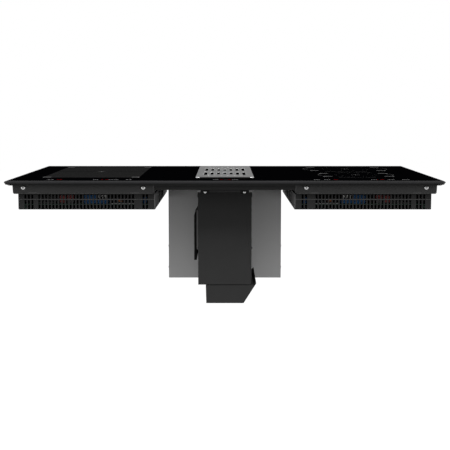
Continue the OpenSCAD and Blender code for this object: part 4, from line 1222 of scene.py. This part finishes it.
def add_capacitor_leads(side, sign, top):
    """The capacitors' leads, from just inside them to below the board."""
    mid_y = box_mm(side + "_capacitors")[0].y + CAPACITOR_DEEP / 2
    leads = bmesh.new()
    for start, share, _ in CAPACITORS:
        left, right = share_span(sign, start, share)
        for x in (left + LEAD_IN, right - LEAD_IN):
            tube(leads, [(x, mid_y, top + z) for z in LEAD_Z], LEAD_R, 6)
    add_piece(side + "_capacitor_leads", leads, "bright_steel")


def add_chokes(side, sign, top):
    """Chokes: a spool with a coil of copper wire round it."""
    low, high = box_mm(side + "_chokes")
    mid_y = (low.y + high.y) / 2
    coils = bmesh.new()
    cores = bmesh.new()
    steps = COIL_TURNS * TURN_STEPS
    for share in CHOKES:
        x = sign * (PAN_INNER + PAN_WIDE * share)
        lathe(cores, CHOKE_CORE, (x, mid_y, top), steps=28)
        helix = []
        for i in range(steps + 1):
            a = 2 * math.pi * i / TURN_STEPS
            z = top + COIL_BASE + COIL_TALL * i / steps
            helix.append((x + COIL_R * math.cos(a), mid_y + COIL_R * math.sin(a), z))
        tube(coils, helix, COIL_WIRE_R, 6)
    add_piece(side + "_choke_coils", coils, "copper_winding", side + "_chokes")
    add_piece(side + "_choke_cores", cores, "ferrite")


def add_relays(side, sign, top):
    """Red relays on dark bases."""
    front = box_mm(side + "_relays")[0].y
    rear = front + RELAY_DEEP
    relays = bmesh.new()
    bases = bmesh.new()
    for start, share, base, tall in RELAYS:
        left, right = share_span(sign, start, share)
        block(relays, (left, front, top + base), (right, rear, top + tall), 0.7)
        block(bases, (left + RELAY_BASE_IN, front + RELAY_BASE_IN, top),
              (right - RELAY_BASE_IN, rear - RELAY_BASE_IN, top + base + 0.2), 0.4, 1)
    add_piece(side + "_relay_set", relays, "red_relay", side + "_relays")
    add_piece(side + "_relay_bases", bases, "small_parts")


def add_small_parts(side, sign, low, high, rng):
    """Small parts scattered over the board, clear of the heatsink."""
    start, end = (PAN_INNER + PAN_WIDE * share for share in HEATSINK_SHARES)
    inside, outside, before, behind = PARTS_CLEAR
    top = high.z
    small = bmesh.new()
    for _ in range(SMALL_PARTS):
        x = sign * rng.uniform(PAN_INNER + inside, PAN_INNER + PAN_WIDE - outside)
        y = rng.uniform(low.y + before, high.y - behind)
        if start < abs(x) < end:
            continue
        w, d, h = rng.uniform(2, 8), rng.uniform(2, 8), rng.uniform(1, 6)
        block(small, (x - w / 2, y - d / 2, top), (x + w / 2, y + d / 2, top + h), 0.3, 1)
    add_piece(side + "_small_parts", small, "small_parts")


def add_plugs(side, sign, front, top):
    """Pale plugs along the board's front, with a pin behind each, and a socket further back."""
    plugs = bmesh.new()
    for x, base in PLUGS:
        left, right = mirrored(sign, x, x + PLUG_W)
        block(plugs, (left, front + PLUG_Y[0], top + base), (right, front + PLUG_Y[1], top + PLUG_TOP), 0.5)
        near, far = (front + y for y in PIN_Y)
        block(plugs, (left + PIN_IN, near, top), (right - PIN_IN, far, top + PIN_TOP), 0.3, 1)
    left, right = mirrored(sign, PAN_INNER + SOCKET_X[0], PAN_INNER + SOCKET_X[1])
    block(plugs, (left, front + SOCKET_Y[0], top), (right, front + SOCKET_Y[1], top + SOCKET_TALL), 0.4)
    add_piece(side + "_plug_set", plugs, "white_plastic")


def add_board_rail(side, sign, front, top):
    """The pale rail at the board's front edge."""
    left, right = mirrored(sign, *RAIL_X)
    low = (left, front + RAIL_Y[0], top)
    add_block(side + "_board_rail", low, (right, front + RAIL_Y[1], top + RAIL_TALL), 0.3, 1, "base_strip")


def add_wires(side, sign, front, top):
    """Short wires at the board's front, and long ones that run back to the cooling fan."""
    fan_front = box_mm(side + "_fan_frame")[0].y
    wires = bmesh.new()
    for first, pitch, count, radius, to_fan, points in WIRES:
        for k in range(count):
            start = first + pitch * k
            path = [(sign * (start + x), front + y + k * y_step, top + z + k * z_step)
                    for x, y, z, y_step, z_step in points]
            if to_fan:
                path.append((sign * FAN_PLUG_X, fan_front - 2, top + 10 + k))
            tube(wires, smooth_path(path), radius, 8)
    add_piece(side + "_wires", wires, "grey_wire")


def make_electronics():
    """What each power board carries. One run of random numbers serves both boards."""
    rng = random.Random(SMALL_PARTS_SEED)
    for side, sign in SIDES:
        low, high = box_mm(side + "_power_board")
        add_capacitors(side, sign, high.z)
        add_chokes(side, sign, high.z)
        add_relays(side, sign, high.z)
        add_small_parts(side, sign, low, high, rng)
        add_plugs(side, sign, low.y, high.z)
        add_board_rail(side, sign, low.y, high.z)
        add_wires(side, sign, low.y, high.z)
        add_capacitor_leads(side, sign, high.z)


# Grease filter

MESH_PITCH = 5.6
MESH_ROW = 4.0
MESH_STRAND = 0.45
MESH_LAYERS = 3
MESH_MARGIN = 2.0
MESH_SWAY = 0.46
MESH_WAVE = 0.9


def make_filter():
    """Layers of expanded aluminium in the filter's frame."""
    low, high = box_mm("filter_mesh")
    left, right = low.x + MESH_STRAND, high.x - MESH_STRAND
    front = low.y + MESH_STRAND
    columns = int((high.x - low.x) / MESH_PITCH)
    rows = int((high.y - low.y) / MESH_ROW)
    width = (right - left) / columns
    length = (high.y - MESH_STRAND - front) / rows
    bm = bmesh.new()
    for layer in range(MESH_LAYERS):
        z = low.z + MESH_MARGIN + (high.z - low.z - 2 * MESH_MARGIN) * layer / (MESH_LAYERS - 1)
        for i in range(columns + 1):
            path = []
            for j in range(rows + 1):
                sway = width * MESH_SWAY * (1 if (j + layer) % 2 else -1)
                x = min(max(left + i * width + sway, left), right)
                path.append((x, front + j * length, z + (MESH_WAVE if (i + j) % 2 else -MESH_WAVE)))
            tube(bm, path, MESH_STRAND, 4)
    add_piece("filter_mesh_layers", bm, "heatsink_aluminium", "filter_mesh")


# Run

make_camera()
make_world()
make_floor()
make_lamps()
make_glass_looks()
make_painted_looks()
make_metal_looks()
make_plastic_looks()
make_shells()
dress_kept_nodes()
make_trims()
make_pans()
make_seam()
make_pan_details()
make_rear_plug()
make_grille()
make_hanger_plates()
make_module_screws()
make_housing_screws()
make_fan_box_screws()
make_print()
make_electronics()
make_filter()

bpy.context.view_layer.update()
